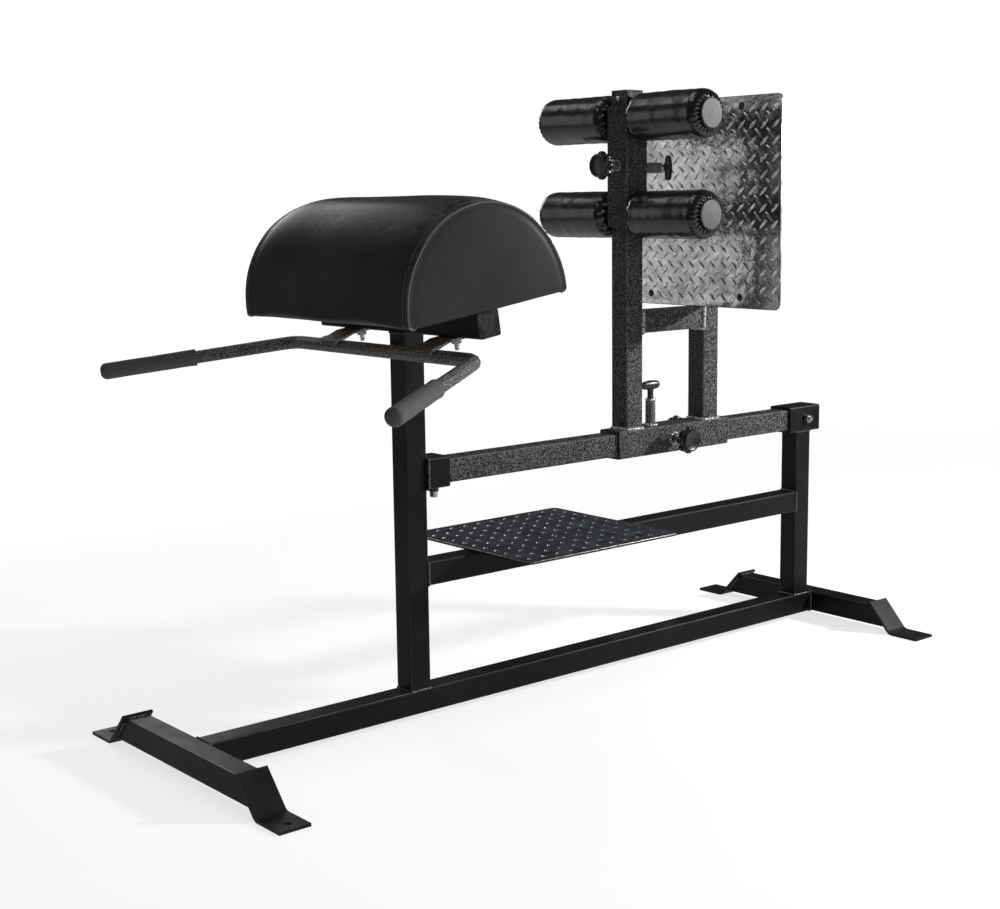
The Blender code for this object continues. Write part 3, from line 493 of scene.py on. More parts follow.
def thread():
    look = Finish("thread", 0.060, 0.50)
    look.paint(look.mix(look.noise(900, 2, 0.5), 0.110, 0.240))
    return look.made


def weld_metal(name, light):
    """Painted weld bead, a little glossier than the tubes so that its ripples catch the light, and
    flecked with paler speckles that are painted highlights.
    """
    look = Finish(name, 0.02 * light, 0.30, metallic=0.2, specular=0.6)
    painted_glint = look.mask(look.noise(210, 3, 0.7), 0.42, 0.62)
    look.paint(look.mix(painted_glint, 0.012 * light, 0.11 * light))
    look.rough(look.noise(300, 3, 0.6), 0.20, 0.45)
    look.bump(look.noise(500, 3, 0.6), 0.3, 0.0006)
    return look.made


LOOKS = {
    "satin_black": satin_black(),
    "hammertone": hammertone(),
    "zinc": zinc(),
    "spring_steel": spring_steel(),
    "black_vinyl": leather(),
    "grip_foam": grip_foam(),
    "black_plastic": black_plastic(),
    "grey_plastic": grey_plastic(),
    "tread_plate": tread_metal(),
    "step_paint": step_paint(),
    "plywood": plywood(),
}
# The floor tubes' copy: dust on their tops, and paler edges of scuffed paint and painted highlight.
DUSTY = satin_black("dusty_black", 0.16, 0.50)
PLAIN_BLACK = satin_black("plain_black", 0.0, 0.0, 3.0)
# A much lighter copy of the hammertone for the round parts: partly their smoother grain, partly
# painted light for the shine along their curves.
ROUND_HAMMER = hammertone("round_hammertone", 1.7, 0.0, 9.0)
ROLLER_VINYL = roller_vinyl()
TREAD_BARS = rubbed_metal("tread_bars", 0.50, 0.97, 0.20)
RIM_METAL = rubbed_metal("rim_metal", 0.12, 0.34, 0.40)
STEP_BUTTONS = rubbed_metal("step_buttons", 0.16, 0.62, 0.28)
THREAD = thread()
# The piping's copy is much lighter than the pad: a painted highlight along the pad's curved edges.
PIPING_PAINTED_HIGHLIGHT = roller_vinyl("piping_painted_highlight", 0.090)
BLACK_WELD = weld_metal("black_weld", 1.2)
# The carriage's welds are a much lighter copy, and their pale speckles are painted highlights.
HAMMER_WELD = weld_metal("hammer_weld", 8.0)


def finish_nodes():
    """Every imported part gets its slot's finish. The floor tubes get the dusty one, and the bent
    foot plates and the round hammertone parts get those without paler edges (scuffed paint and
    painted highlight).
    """
    for part in frame["record"]["subparts"]:
        node = part["node"]
        look = LOOKS[part["material_slot"]]
        if node in ("front_cross_tube", "rear_cross_tube", "base_rail"):
            look = DUSTY
        elif "foot_plate" in node:
            look = PLAIN_BLACK
        elif node.startswith("handlebar_strap") or node == "handlebar" or node.endswith("_barrel"):
            look = ROUND_HAMMER
        mesh = frame["nodes"][node].data
        mesh.materials.clear()
        mesh.materials.append(look)


# ---- mesh building


def facing(point, direction, across=None):
    """A frame at point whose Z is direction and whose X is as near across as can be."""
    z = Vector(direction).normalized()
    hint = Vector(across) if across else (Z_AXIS if abs(z.z) < 0.9 else X_AXIS)
    y = z.cross(hint).normalized()
    x = y.cross(z)
    return Matrix.Translation(point) @ Matrix((x, y, z)).transposed().to_4x4()


def skin(bm, rows, around=False, closed=False, first_cap=False, last_cap=False):
    """Joins rows of points with quads. around closes each row, closed joins the last to the first."""
    rings = [[bm.verts.new(point) for point in row] for row in rows]
    pairs = list(zip(rings, rings[1:]))
    if closed:
        pairs.append((rings[-1], rings[0]))
    for first, second in pairs:
        count = len(first)
        for i in range(count if around else count - 1):
            j = (i + 1) % count
            bm.faces.new((first[i], first[j], second[j], second[i]))
    if first_cap:
        bm.faces.new(rings[0][::-1])
    if last_cap:
        bm.faces.new(rings[-1])
    return rings


def placed(name, data):
    """A new object in the scene."""
    thing = bpy.data.objects.new(name, data)
    bpy.context.scene.collection.objects.link(thing)
    return thing


def piece(name, bm, body, slot, look=None, matrix=None, replaces=(), sharp=40):
    """Turns a bmesh into a smooth piece on a body. It has its slot's look, or another given one."""
    bmesh.ops.remove_doubles(bm, verts=bm.verts, dist=1e-6)
    bmesh.ops.recalc_face_normals(bm, faces=bm.faces)
    mesh = bpy.data.meshes.new(name)
    bm.to_mesh(mesh)
    bm.free()
    mesh.shade_smooth()
    mesh.set_sharp_from_angle(angle=math.radians(sharp))
    mesh.materials.append(look or LOOKS[slot])
    thing = placed(name, mesh)
    if matrix:
        mesh.transform(matrix)
    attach(thing, body)
    if replaces:
        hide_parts(*replaces)
    return thing


def ring(matrix, count, height, reach):
    """A row of points about a frame's Z. reach is its radius, or gives the radius at a turn."""
    points = []
    for i in range(count):
        turn = TAU * i / count
        out = reach(turn) if callable(reach) else reach
        points.append(matrix @ Vector((out * math.cos(turn), out * math.sin(turn), height)))
    return points


def capped(bm, rows):
    """A closed body from closed rows, with a cap at each end."""
    skin(bm, rows, around=True, first_cap=True, last_cap=True)


def turned(bm, profile, count, matrix):
    """A closed turned shape from (radius, height) points."""
    capped(bm, [ring(matrix, count, height, radius) for radius, height in profile])


def rounded_path(matrix, wide, tall, corner, steps):
    """A closed rectangle with round corners in a frame's XY plane. wide and tall are half the
    distances between the corners' centres.
    """
    points = []
    for quarter, (sx, sy) in enumerate(((1, 1), (-1, 1), (-1, -1), (1, -1))):
        for k in range(steps + 1):
            turn = math.radians(90 * quarter + 90 / steps * k)
            x = sx * wide + corner * math.cos(turn)
            y = sy * tall + corner * math.sin(turn)
            points.append(matrix @ Vector((x, y, 0)))
    return points


def walk(path, pitch):
    """Points at an even pitch along a path, each with the direction there."""
    walked, due = 0.0, 0.0
    for before, after in zip(path, path[1:]):
        step = after - before
        while due <= walked + step.length:
            yield before + step.normalized() * (due - walked), step.normalized()
            due += pitch
        walked += step.length


def tread_bar(bm, matrix):
    """A low domed lens in a frame's XY plane, pointed at both ends along X."""
    sides, levels = 16, 4
    outline = []
    for i in range(sides):
        turn = TAU * i / sides
        c, s = math.cos(turn), math.sin(turn)
        outline.append((c * TREAD_LENGTH / 2, math.copysign(abs(s) ** 1.35, s) * TREAD_WIDTH / 2))
    rows = [[matrix @ Vector((x, y, -0.0004)) for x, y in outline]]
    for j in range(levels + 1):
        share = j / levels
        shrink = max(math.cos(share * math.pi / 2) ** 0.75, 0.02)
        lift = TREAD_HIGH * math.sin(share * math.pi / 2)
        rows.append([matrix @ Vector((x * shrink, y * shrink, lift)) for x, y in outline])
    capped(bm, rows)


# ---- pad


def pad_swell(y):
    """How far the pad's rolled surface stands out at y, against its ends."""
    return PAD_CROWN * (1 - abs(y / PAD_HALF) ** PAD_FULLNESS)


def pad_profile(y, inset=0.0, steps=72):
    """The pad's outline at y in (u, v), from the front's bottom edge over the top to the rear's."""
    radius = PAD_RADIUS - inset
    points = []
    for i in range(steps + 1):
        turn = math.pi - math.pi * i / steps
        s = math.sin(turn)
        out = radius + pad_swell(y) * (0.45 + 0.55 * s)
        points.append(Vector((out * math.cos(turn), y, PAD_CENTRE + out * s)))
    return points


def with_wrapped_bottom(points):
    """Adds the rounded lower edges at both ends of an outline."""
    front, rear = points[0], points[-1]
    lower = []
    for i in range(1, 8):
        turn = math.pi / 2 * i / 7
        lower.append((PAD_WRAP * (1 - math.cos(turn)), (PAD_CENTRE - PAD_LOW) * math.sin(turn)))
    start = [Vector((front.x + a, front.y, front.z - b)) for a, b in reversed(lower)]
    end = [Vector((rear.x - a, rear.y, rear.z - b)) for a, b in lower]
    return start + points + end


def pad_sag(point):
    """Small hand-made unevenness of the stuffed cover, in the saddle's frame."""
    u, y, v = point
    broad = noise.noise(Vector((u * 7, y * 6, v * 7))) * 0.0016
    fine = noise.noise(Vector((u * 22 + 3, y * 9, v * 22))) * 0.0005
    return broad + fine


def corner_gather(u, y, v):
    """Drop of the lower rim: it is drawn up between the corners, and folds hang at the rear."""
    low = min(1.0, max(0.0, 1 - (v - PAD_LOW) / 0.035))
    reach = math.exp(-(((u - 0.165) / 0.026) ** 2) - ((abs(y) - 0.266) / 0.022) ** 2)
    corner = (abs(u) / PAD_RADIUS) ** 8 * (abs(y) / PAD_HALF) ** 6
    rim = max((abs(u) / PAD_RADIUS) ** 14, (abs(y) / PAD_HALF) ** 40)
    lift = PAD_DROOP * rim * (1 - min(1.0, corner)) * (1 + 0.25 * math.sin(23 * y + 9 * u))
    return (0.0050 * reach - lift) * low


def end_crease(u, v):
    """The diagonal crease on an end panel's lower front."""
    start, end = Vector((-0.170, 0.118)), Vector((-0.075, 0.056))
    along = (end - start).normalized()
    reach = (Vector((u, v)) - start).dot(along) / (end - start).length
    away = (Vector((u, v)) - start).dot(Vector((-along.y, along.x)))
    fade = math.exp(-(((reach - 0.6) / 0.42) ** 2))
    valley = math.exp(-((away / 0.0035) ** 2))
    ridge = math.exp(-(((away + 0.007) / 0.005) ** 2))
    return 0.0011 * fade * (valley - 0.8 * ridge)


def pad_cover():
    """The sewn cover: a rolled panel across, and two end panels that bulge inside their seams."""
    bm = bmesh.new()
    band = STITCH_ROWS[-1] + 0.004
    count = 46
    flat = PAD_HALF - band
    stations = [-flat + 2 * flat * i / count for i in range(count + 1)]
    # The rows near the seams follow their grooves and the rounded edge, at these depths from the end
    depths = [band - 0.0012, band - 0.003, 0.0112, 0.0100, 0.0088, 0.0058, 0.0048]
    depths += [PAD_EDGE * (1 - math.sin(math.radians(a))) for a in (15, 35, 55, 75)]
    for depth in depths:
        stations += [PAD_HALF - depth, depth - PAD_HALF]
    stations = sorted(set(round(s, 6) for s in stations))
    rows = []
    for y in stations:
        depth = PAD_HALF - abs(y)
        inset = 0.0
        if depth < PAD_EDGE:
            inset = PAD_EDGE - math.sqrt(max(PAD_EDGE**2 - (PAD_EDGE - depth) ** 2, 0))
        groove = sum(0.0009 * math.exp(-(((depth - at) / 0.0012) ** 2)) for at in STITCH_ROWS)
        valley = 0.0010 * math.exp(-(((depth - band - 0.001) / 0.004) ** 2))
        row = with_wrapped_bottom(pad_profile(y, inset + groove + valley))
        rows.append([shaped_pad_point(point) for point in row])
    skin(bm, rows)
    end_panel(bm, rows[0], -1)
    end_panel(bm, rows[-1], 1)
    bottom_panel(bm, rows)
    cover = piece("pad_cover", bm, "frame", "black_vinyl", None, SADDLE, ["pad"], 55)


def shaped_pad_point(point):
    """A point of an outline, moved by the cover's unevenness and the gathers of its lower rim."""
    out = Vector((point.x, 0, max(point.z - PAD_CENTRE, 0)))
    if out.length > 0.05:
        point = point + out.normalized() * pad_sag(point)
    return point - Vector((0, 0, corner_gather(*point)))


def end_panel(bm, rim, side):
    """A half-round panel drawn in from its rim, bulging out in the middle."""
    middle = Vector((0, rim[0].y, PAD_CENTRE + 0.055))
    loops = []
    for share in (1.0, 0.985, 0.965, 0.94, 0.90, 0.84, 0.76, 0.66, 0.54, 0.40, 0.26, 0.12):
        loop = []
        for point in rim:
            inner = middle + (point - middle) * share
            bulge = PAD_BULGE * (1 - share**3) ** 0.8
            bulge -= 0.0013 * math.exp(-(((share - 0.965) / 0.02) ** 2))
            wave = 0.0011 * noise.noise(Vector((inner.x * 9, side * 4, inner.z * 9))) * (1 - share**2)
            crease = end_crease(inner.x, inner.z) * min(1, (1 - share) * 12)
            inner.y += side * (bulge + wave + crease)
            loop.append(inner)
        loops.append(loop)
    rings = skin(bm, loops, around=True)
    bm.faces.new(rings[-1])


def bottom_panel(bm, rows):
    """The underside: a flat wrap round the board's pocket, and the pocket itself."""
    stations = [row[0].y for row in rows]
    wrap = [PAD_LOW] * len(stations)
    pocket = [BOARD_TOP if abs(y) < BOARD_HALF_Y else PAD_LOW for y in stations]
    lines = [[row[0] for row in rows]]
    for u, heights in (
        (-BOARD_HALF_U - 0.004, wrap), (-BOARD_HALF_U, wrap), (-BOARD_HALF_U, pocket),
        (-0.08, pocket), (0.0, pocket), (0.08, pocket), (BOARD_HALF_U, pocket),
        (BOARD_HALF_U, wrap), (BOARD_HALF_U + 0.004, wrap),
    ):
        lines.append([Vector((u, y, v)) for y, v in zip(stations, heights)])
    lines.append([row[-1] for row in rows])
    skin(bm, lines)


def pad_stitches():
    """Two rows of short threads beside each end seam, over the rolled panel."""
    bm = bmesh.new()
    rng = random.Random(5)
    for side in (-1, 1):
        for depth in STITCH_ROWS:
            path = [shaped_pad_point(p) for p in pad_profile(side * (PAD_HALF - depth), steps=220)]
            for at, run in walk(path, STITCH_PITCH):
                out = Vector((at.x, 0, at.z - PAD_CENTRE)).normalized()
                lean = run + Y_AXIS * side * rng.uniform(0.10, 0.22)
                stitch(bm, facing(at - out * 0.0002, out, lean))
    piece("pad_stitches", bm, "frame", "black_vinyl", THREAD, SADDLE)


def pad_piping():
    """A thin welt that stands up along both curved edges, in lighter vinyl that is a painted
    highlight.
    """
    bm = bmesh.new()
    for side in (-1, 1):
        y = side * (PAD_HALF - 0.0012)
        path = [shaped_pad_point(p) for p in with_wrapped_bottom(pad_profile(y, 0.0005, 160))]
        rows = []
        for before, at, after in zip(path[:1] + path, path, path[1:] + path[-1:]):
            rows.append(ring(facing(at, after - before, Y_AXIS), 10, 0, PIPING))
        capped(bm, rows)
    piece("pad_piping", bm, "frame", "black_vinyl", PIPING_PAINTED_HIGHLIGHT, SADDLE)


def stitch(bm, matrix):
    """One thread, a short bent capsule along a frame's X."""
    half = [(0.8, 0.8, 0.0001), (1, 0.15, -0.0004)]
    rows = []
    for share, thick, lift in [(-a, b, c) for a, b, c in half[::-1]] + [(0, 1, 0.0004)] + half:
        centre = Vector((share * STITCH_HALF, 0, lift))
        row = []
        for i in range(6):
            turn = TAU * i / 6
            out = Vector((0, math.cos(turn), math.sin(turn))) * (THREAD_RADIUS * thick)
            row.append(matrix @ (centre + out))
        rows.append(row)
    capped(bm, rows)


# ---- rollers


def pleats(turn, count, seed):
    """Gathered vinyl round a turn: 1 on a fold's back and 0 in the sharp valley between folds."""
    wander = 0.45 * noise.noise(Vector((3 * math.cos(turn), 3 * math.sin(turn), seed)))
    size = 0.80 + 0.45 * noise.noise(Vector((5 * math.cos(turn), 5 * math.sin(turn), seed + 9)))
    return abs(math.sin(count / 2 * turn + wander)) ** 0.8 * size


def roller_profile():
    """A roller's outline as (radius, along, inner gather, outer gather), inner end first."""
    length = ROLLER_OUTER - ROLLER_INNER
    rows = [(0.0160, 0.0160, 0.1, 0), (0.0172, 0.0080, 0.6, 0)]
    rows += [(0.0196, 0.0030, 0.9, 0), (0.0232, 0.0008, 1.0, 0)]
    inner_hub, outer_hub = 0.0262, 0.0315
    steps = 16
    for i in range(steps):
        turn = math.pi / 2 * i / (steps - 1)
        radius = inner_hub + (ROLLER_RADIUS - inner_hub) * math.sin(turn) ** 0.9
        rows.append((radius, SHOULDER * (1 - math.cos(turn)), (1 - i / (steps - 1)) ** 1.3, 0))
    spans = 56
    for i in range(1, spans):
        rows.append((ROLLER_RADIUS, SHOULDER + (length - 2 * SHOULDER) * i / spans, 0, 0))
    for i in range(steps):
        turn = math.pi / 2 * (1 - i / (steps - 1))
        radius = outer_hub + (ROLLER_RADIUS - outer_hub) * math.sin(turn) ** 0.9
        rows.append((radius, length - SHOULDER * (1 - math.cos(turn)), 0, (i / (steps - 1)) ** 2.2))
    rows += [(0.0285, length - 0.0015, 0, 0.9), (0.0250, length - 0.0060, 0, 0.5)]
    rows.append((0.0160, length - 0.0160, 0, 0.1))
    return rows, length


def roller_cover(level, side):
    """A stuffed vinyl sleeve gathered at both ends of a roller."""
    sign = -1 if side == "near" else 1
    seed = {"low": 0.0, "top": 31.0}[level] + (0.0 if sign < 0 else 57.0)
    rows, length = roller_profile()
    base = facing((TALL_X, sign * ROLLER_INNER, ROLLER_Z[level]), (0, sign, 0))
    bm = bmesh.new()
    rings = []
    for k, (radius, along, inner, outer) in enumerate(rows):
        before, after = rows[max(k - 1, 0)], rows[min(k + 1, len(rows) - 1)]
        run = Vector((after[0] - before[0], after[1] - before[1])).normalized()
        out, end = run.y, -run.x  # which way the surface faces, outward and along the roller
        middle = min(1.0, min(along, length - along) / 0.03)
        points = []
        for i in range(ROLLER_SIDES):
            turn = TAU * i / ROLLER_SIDES
            c, s = math.cos(turn), math.sin(turn)
            puff = inner * INNER_FOLD * (pleats(turn, INNER_PLEATS, seed + 1) - 0.80)
            puff += outer * OUTER_FOLD * (pleats(turn, OUTER_PLEATS, seed + 2) - 0.80)
            crease = noise.noise(Vector((along * 44 + seed, 0.8 * c, 0.8 * s)))
            crease += 0.5 * noise.noise(Vector((along * 60 + seed, 1.4 * c + 5, 1.4 * s)))
            slack = noise.noise(Vector((along * 13 + seed, 1.1 * c, 1.1 * s + 8)))
            puff += middle * (ROLLER_CREASE * crease + ROLLER_SLACK * slack - ROLLER_WAIST)
            reach = radius + out * puff
            points.append(base @ Vector((reach * c, reach * s, along + end * puff)))
        rings.append(points)
    skin(bm, rings, around=True, closed=True)
    node = f"roller_{level}_{side}"
    cover = piece(f"{node}_cover", bm, node, "black_vinyl", ROLLER_VINYL, replaces=[node], sharp=60)


# ---- grips


def grip_cover(side):
    """A rubber grip: a thick sleeve with a rolled mouth and a round closed end."""
    sign = -1 if side == "near" else 1
    arm = (BAR_TIP - BAR_BEND).normalized()
    along = Vector((arm.x, sign * arm.y, 0))
    tip = Vector((BAR_TIP.x, sign * BAR_TIP.y, BAR_V))
    matrix = SADDLE @ facing(tip - along * GRIP_LENGTH, along)
    bore = BAR_RADIUS + 0.0004
    profile = [(bore, 0.150), (bore, 0.0010), (bore + 0.0008, 0.0), (GRIP_RADIUS - 0.0009, -0.0001)]
    for swell, height in ((-0.0001, 0.0009), (0.0004, 0.0024), (0.0003, 0.0060)):
        profile.append((GRIP_RADIUS + swell, height))
    steps = 26
    for i in range(1, steps):
        share = i / steps
        waist = 0.0002 * math.sin(share * math.pi)
        profile.append((GRIP_RADIUS - waist, 0.006 + (GRIP_LENGTH - 0.020) * share))
    nose = 0.0125
    flat = GRIP_RADIUS - nose
    for i in range(9):
        turn = math.pi / 2 * i / 8
        profile.append((flat + nose * math.cos(turn), GRIP_LENGTH - nose + nose * math.sin(turn)))
    profile.append((0.0015, GRIP_LENGTH + 0.0002))
    rows = []
    for radius, height in profile:
        def reach(turn):
            spot = Vector((math.cos(turn), math.sin(turn), height * 26 + sign))
            return radius + 0.00035 * noise.noise(spot)

        rows.append(ring(matrix, 56, height, reach))
    bm = bmesh.new()
    capped(bm, rows)
    node = f"grip_{side}"
    cover = piece(f"{node}_cover", bm, "frame", "grip_foam", replaces=[node])


# ---- tread and step


def toe_tread():
    """Raised bars on the toe plate, each row turned against the next."""
    low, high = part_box("toe_plate")
    bm = bmesh.new()
    for row in range(TREAD_ROWS):
        z = high.z - TREAD_START_Z - row * TREAD_PITCH_Z / 2
        shift = (row % 2) * TREAD_PITCH_Y / 2
        sign = 1 if row % 2 == 0 else -1
        for column in range(TREAD_COLUMNS):
            y = low.y + TREAD_START_Y + column * TREAD_PITCH_Y + shift
            if y > high.y - TREAD_MARGIN or z < low.z + TREAD_MARGIN:
                continue
            if any(math.hypot(y - sy, z - sz) < TREAD_SCREW_GAP for sy, sz in TOE_SCREWS):
                continue
            along = Vector((0, -math.cos(TREAD_TURN), sign * math.sin(TREAD_TURN)))
            tread_bar(bm, facing((TOE_FACE, y, z), -X_AXIS, along))
    piece("toe_tread_bars", bm, "carriage", "tread_plate", TREAD_BARS, sharp=70)


def plate_rim(name, body, slot, low, high, normal, across):
    """A thin line of bare metal along a plate's edge, just behind the face between two corners."""
    matrix = facing((low + high) / 2 - normal * 0.0006, normal, across)
    size = high - low
    wide, tall = (abs(size.dot(matrix.col[i].to_3d())) / 2 - PLATE_CORNER for i in (0, 1))
    path = rounded_path(matrix, wide, tall, PLATE_CORNER - 0.0002, 6)
    rows = []
    for k, at in enumerate(path):
        run = path[(k + 1) % len(path)] - path[k - 1]
        rows.append(ring(facing(at, run, normal), 8, 0, RIM))
    bm = bmesh.new()
    skin(bm, rows, around=True, closed=True)
    piece(name, bm, body, slot, RIM_METAL)


def plate_rims():
    low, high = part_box("step_plate")
    low.z = high.z
    plate_rim("step_rim", "frame", "step_paint", low, high, Z_AXIS, X_AXIS)
    low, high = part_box("toe_plate")
    low.x = high.x = TOE_FACE
    plate_rim("toe_rim", "carriage", "tread_plate", low, high, -X_AXIS, Y_AXIS)


def step_bumps():
    """Punched buttons with dished tops on the step plate, in a square grid."""
    low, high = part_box("step_plate")
    middle = (low + high) / 2
    bm = bmesh.new()
    rim = BUMP_RADIUS
    dish = ((0.72, 0.85), (0.55, 1.0), (0.38, 0.90), (0.20, 0.45))
    profile = [(0.0002, 0.35 * BUMP_HIGH)] + [(r * rim, h * BUMP_HIGH) for r, h in dish[::-1]]
    profile += [(rim, 0.0006), (rim + 0.0012, 0.0001), (rim + 0.0012, -0.0003)]
    screws = [(middle.x + sx * STEP_SCREW_X, sy * STEP_SCREW_Y) for sx in (-1, 1) for sy in (-1, 1)]
    for i in range(STEP_ROWS):
        for j in range(STEP_ROWS):
            x = low.x + STEP_START + i * STEP_PITCH_X
            y = (j - (STEP_ROWS - 1) / 2) * STEP_PITCH_Y
            if any(math.hypot(x - sx, y - sy) < STEP_SCREW_GAP for sx, sy in screws):
                continue
            turned(bm, profile, 14, Matrix.Translation((x, y, high.z)))
    piece("step_bumps", bm, "frame", "step_paint", STEP_BUTTONS)


# ---- welds


def bead(bm, path, radius, rng, closed):
    """A rippled bead of metal along a path."""
    spaced = [at for at, _ in walk(path + path[:1] if closed else path, BEAD_STEP)]
    rows = []
    phase = rng.uniform(0, 6)
    for k, at in enumerate(spaced):
        before = spaced[k - 1] if k or closed else at
        after = spaced[(k + 1) % len(spaced)] if k + 1 < len(spaced) or closed else at
        run = (after - before).normalized()
        ripple = 0.5 + 0.5 * math.sin(k * 1.5 + phase + 1.2 * noise.noise(at * 90))
        thick = radius * (0.82 + 0.30 * ripple + 0.22 * noise.noise(at * 160))
        if not closed and (k < 2 or k > len(spaced) - 3):
            thick *= 0.55
        rows.append(ring(facing(at, run), 7, 0, thick))
    skin(bm, rows, around=True, closed=closed, first_cap=not closed, last_cap=not closed)


def square_path(centre, normal, across, side=TUBE):
    """A closed path round a square tube where it meets a face."""
    reach = side / 2 - CORNER
    return rounded_path(facing(centre, normal, across), reach, reach, CORNER, 3)


def circle_path(centre, normal, radius):
    return ring(facing(centre, normal), 24, 0, radius)


def weld(name, body, slot, look, radius, seed, loops, strips=()):
    """One piece holding the beads of a body's welds: closed loops, then open strips."""
    bm = bmesh.new()
    rng = random.Random(seed)
    for path in loops:
        bead(bm, path, radius, rng, closed=True)
    for path in strips:
        bead(bm, path, radius, rng, closed=False)
    piece(name, bm, body, slot, look, sharp=80)


def frame_welds():
    half = TUBE / 2
    loops = [
        square_path((POST_X, 0, BASE_TOP), Z_AXIS, X_AXIS),
        square_path((REAR_POST_X, 0, BASE_TOP), Z_AXIS, X_AXIS),
        square_path((-CROSS_X + half, 0, BASE_TOP - half), X_AXIS, Y_AXIS),
        square_path((CROSS_X - half, 0, BASE_TOP - half), -X_AXIS, Y_AXIS),
        square_path((POST_X + half, 0, MID_RAIL_Z), X_AXIS, Y_AXIS),
        square_path((REAR_POST_X - half, 0, MID_RAIL_Z), -X_AXIS, Y_AXIS),
        square_path((POST_X + half, 0, RAIL_Z), X_AXIS, Y_AXIS, SLEEVE),
        square_path((REAR_POST_X, 0, RAIL_Z - SLEEVE / 2), Z_AXIS, X_AXIS),
        square_path(SADDLE_AT, SADDLE.to_3x3() @ Z_AXIS, X_AXIS),
    ]
    strips = []
    for x in (-CROSS_X, CROSS_X):
        for sign in (-1, 1):
            strips += foot_weld(x, sign)
    weld("frame_welds", "frame", "satin_black", BLACK_WELD, FRAME_BEAD, 3, loops, strips)


def foot_weld(x, sign):
    """Beads down both sides and over the top of a cross tube where its foot plate meets it."""
    slope = (FOOT_HEEL - FOOT_TOP) / (BASE_TOP - FOOT_FLOOR)
    half = TUBE / 2
    down = []
    for z in (0.058, 0.040, 0.020):
        down.append(Vector((x, sign * (FOOT_TOP + slope * (BASE_TOP - z) - 0.0008), z)))
    over = Vector((x, sign * (FOOT_TOP - 0.0005), BASE_TOP + 0.0003))
    sides = [[point + X_AXIS * away for point in down] for away in (-half, half)]
    return sides + [[over + X_AXIS * away for away in (CORNER - half, half - CORNER)]]


def carriage_welds():
    top = RAIL_Z + SLEEVE / 2
    half = TUBE / 2
    loops = [
        square_path((TALL_X, 0, top), Z_AXIS, X_AXIS),
        square_path((SHORT_X, 0, top), Z_AXIS, X_AXIS),
        square_path((TALL_X + half, 0, BRIDGE_Z), X_AXIS, Y_AXIS),
        square_path((SHORT_X - half, 0, BRIDGE_Z), -X_AXIS, Y_AXIS),
        circle_path(CARRIAGE_PIN_AT, Z_AXIS, BARREL_RADIUS),
        circle_path(CARRIAGE_KNOB_NEAR_AT, -Y_AXIS, BOSS_RADIUS),
        circle_path(CARRIAGE_KNOB_FAR_AT, Y_AXIS, BOSS_RADIUS),
    ]
    weld("carriage_welds", "carriage", "hammertone", HAMMER_WELD, CARRIAGE_BEAD, 7, loops)


def roller_sleeve_welds():
    loops = [
        circle_path(SLEEVE_PIN_AT, X_AXIS, BARREL_RADIUS),
        circle_path(SLEEVE_KNOB_AT, -X_AXIS, BOSS_RADIUS),
    ]
    for z in ROLLER_Z.values():
        for sign in (-1, 1):
            loops.append(circle_path((TALL_X, sign * SLEEVE / 2, z), Y_AXIS * sign, AXLE_RADIUS))
    weld("roller_sleeve_welds", "roller_carriage", "hammertone", HAMMER_WELD, ROLLER_BEAD, 9, loops)


# ---- knobs and pull pins


def star_knob(name, point, direction):
    """A moulded star knob with a dished round face, its threaded stud, jam nut and washer."""
    front = KNOB_STANDOFF - KNOB_FACE
    back = front - KNOB_THICK
    matrix = facing(point, direction)
    profile = [
        (0.0070, back - 0.0120, 0), (0.0115, back - 0.0120, 0), (0.0128, back - 0.0108, 0),
        (0.0130, back - 0.0040, 0), (0.0145, back - 0.0008, 0), (0.0200, back, 0.2),
        (0.0265, back + 0.0003, 1), (0.0285, back + 0.0010, 1), (0.0299, back + 0.0027, 1),
        (0.0305, back + 0.0055, 1), (0.0305, back + 0.0105, 1), (0.0299, back + 0.0133, 1),
        (0.0285, back + 0.0150, 1), (0.0268, back + 0.0158, 0.9), (0.0258, back + 0.0163, 0.3),
        (0.0252, back + 0.0175, 0), (0.0250, front + 0.0050, 0), (0.0244, front + 0.0068, 0),
        (0.0231, front + 0.0079, 0), (0.0218, front + 0.0080, 0), (0.0203, front + 0.0073, 0),
        (0.0150, front + 0.0059, 0), (0.0070, front + 0.0052, 0), (0.0004, front + 0.0051, 0),
    ]
    rows = []
    for radius, height, lobed in profile:
        def reach(turn):
            return radius - lobed * (KNOB_SCALLOP * (0.5 - 0.5 * math.cos(KNOB_LOBES * turn)) ** 1.6)

        rows.append(ring(matrix, 144, height, reach))
    bm = bmesh.new()
    capped(bm, rows)
    piece(f"{name}_star", bm, name, "black_plastic", replaces=[name], sharp=35)

    bm = bmesh.new()
    profile = [(STUD_CORE, 0.0002)]
    for k in range(int((back - 0.012) / STUD_PITCH)):
        base = 0.0008 + k * STUD_PITCH
        profile.append((STUD_CORE, base))
        profile += [(STUD_RADIUS, base + share * STUD_PITCH) for share in (0.45, 0.6)]
    profile.append((STUD_CORE, back - 0.0119))
    turned(bm, profile, 24, matrix)
    hexagon(bm, matrix, 0.0104, back - 0.0195, 0.0068)
    washer = ((0.0128, 0.0006), (0.0130, 0.0010), (0.0128, 0.0024))
    turned(bm, [(radius, BOSS_HIGH + lift) for radius, lift in washer], 32, matrix)
    piece(f"{name}_stud", bm, name, "zinc")


def hexagon(bm, matrix, radius, base, high):
    """A chamfered hexagon nut about a frame's Z, standing on the height base."""
    rows = []
    for height, trim in ((0.0, 0.955), (0.0012, 1.0), (high - 0.0012, 1.0), (high, 0.955)):
        def reach(turn):
            side = (turn % (TAU / 6)) - TAU / 12
            return min(radius * math.cos(TAU / 12) / math.cos(side), radius * trim)

        rows.append(ring(matrix, 48, base + height, reach))
    capped(bm, rows)


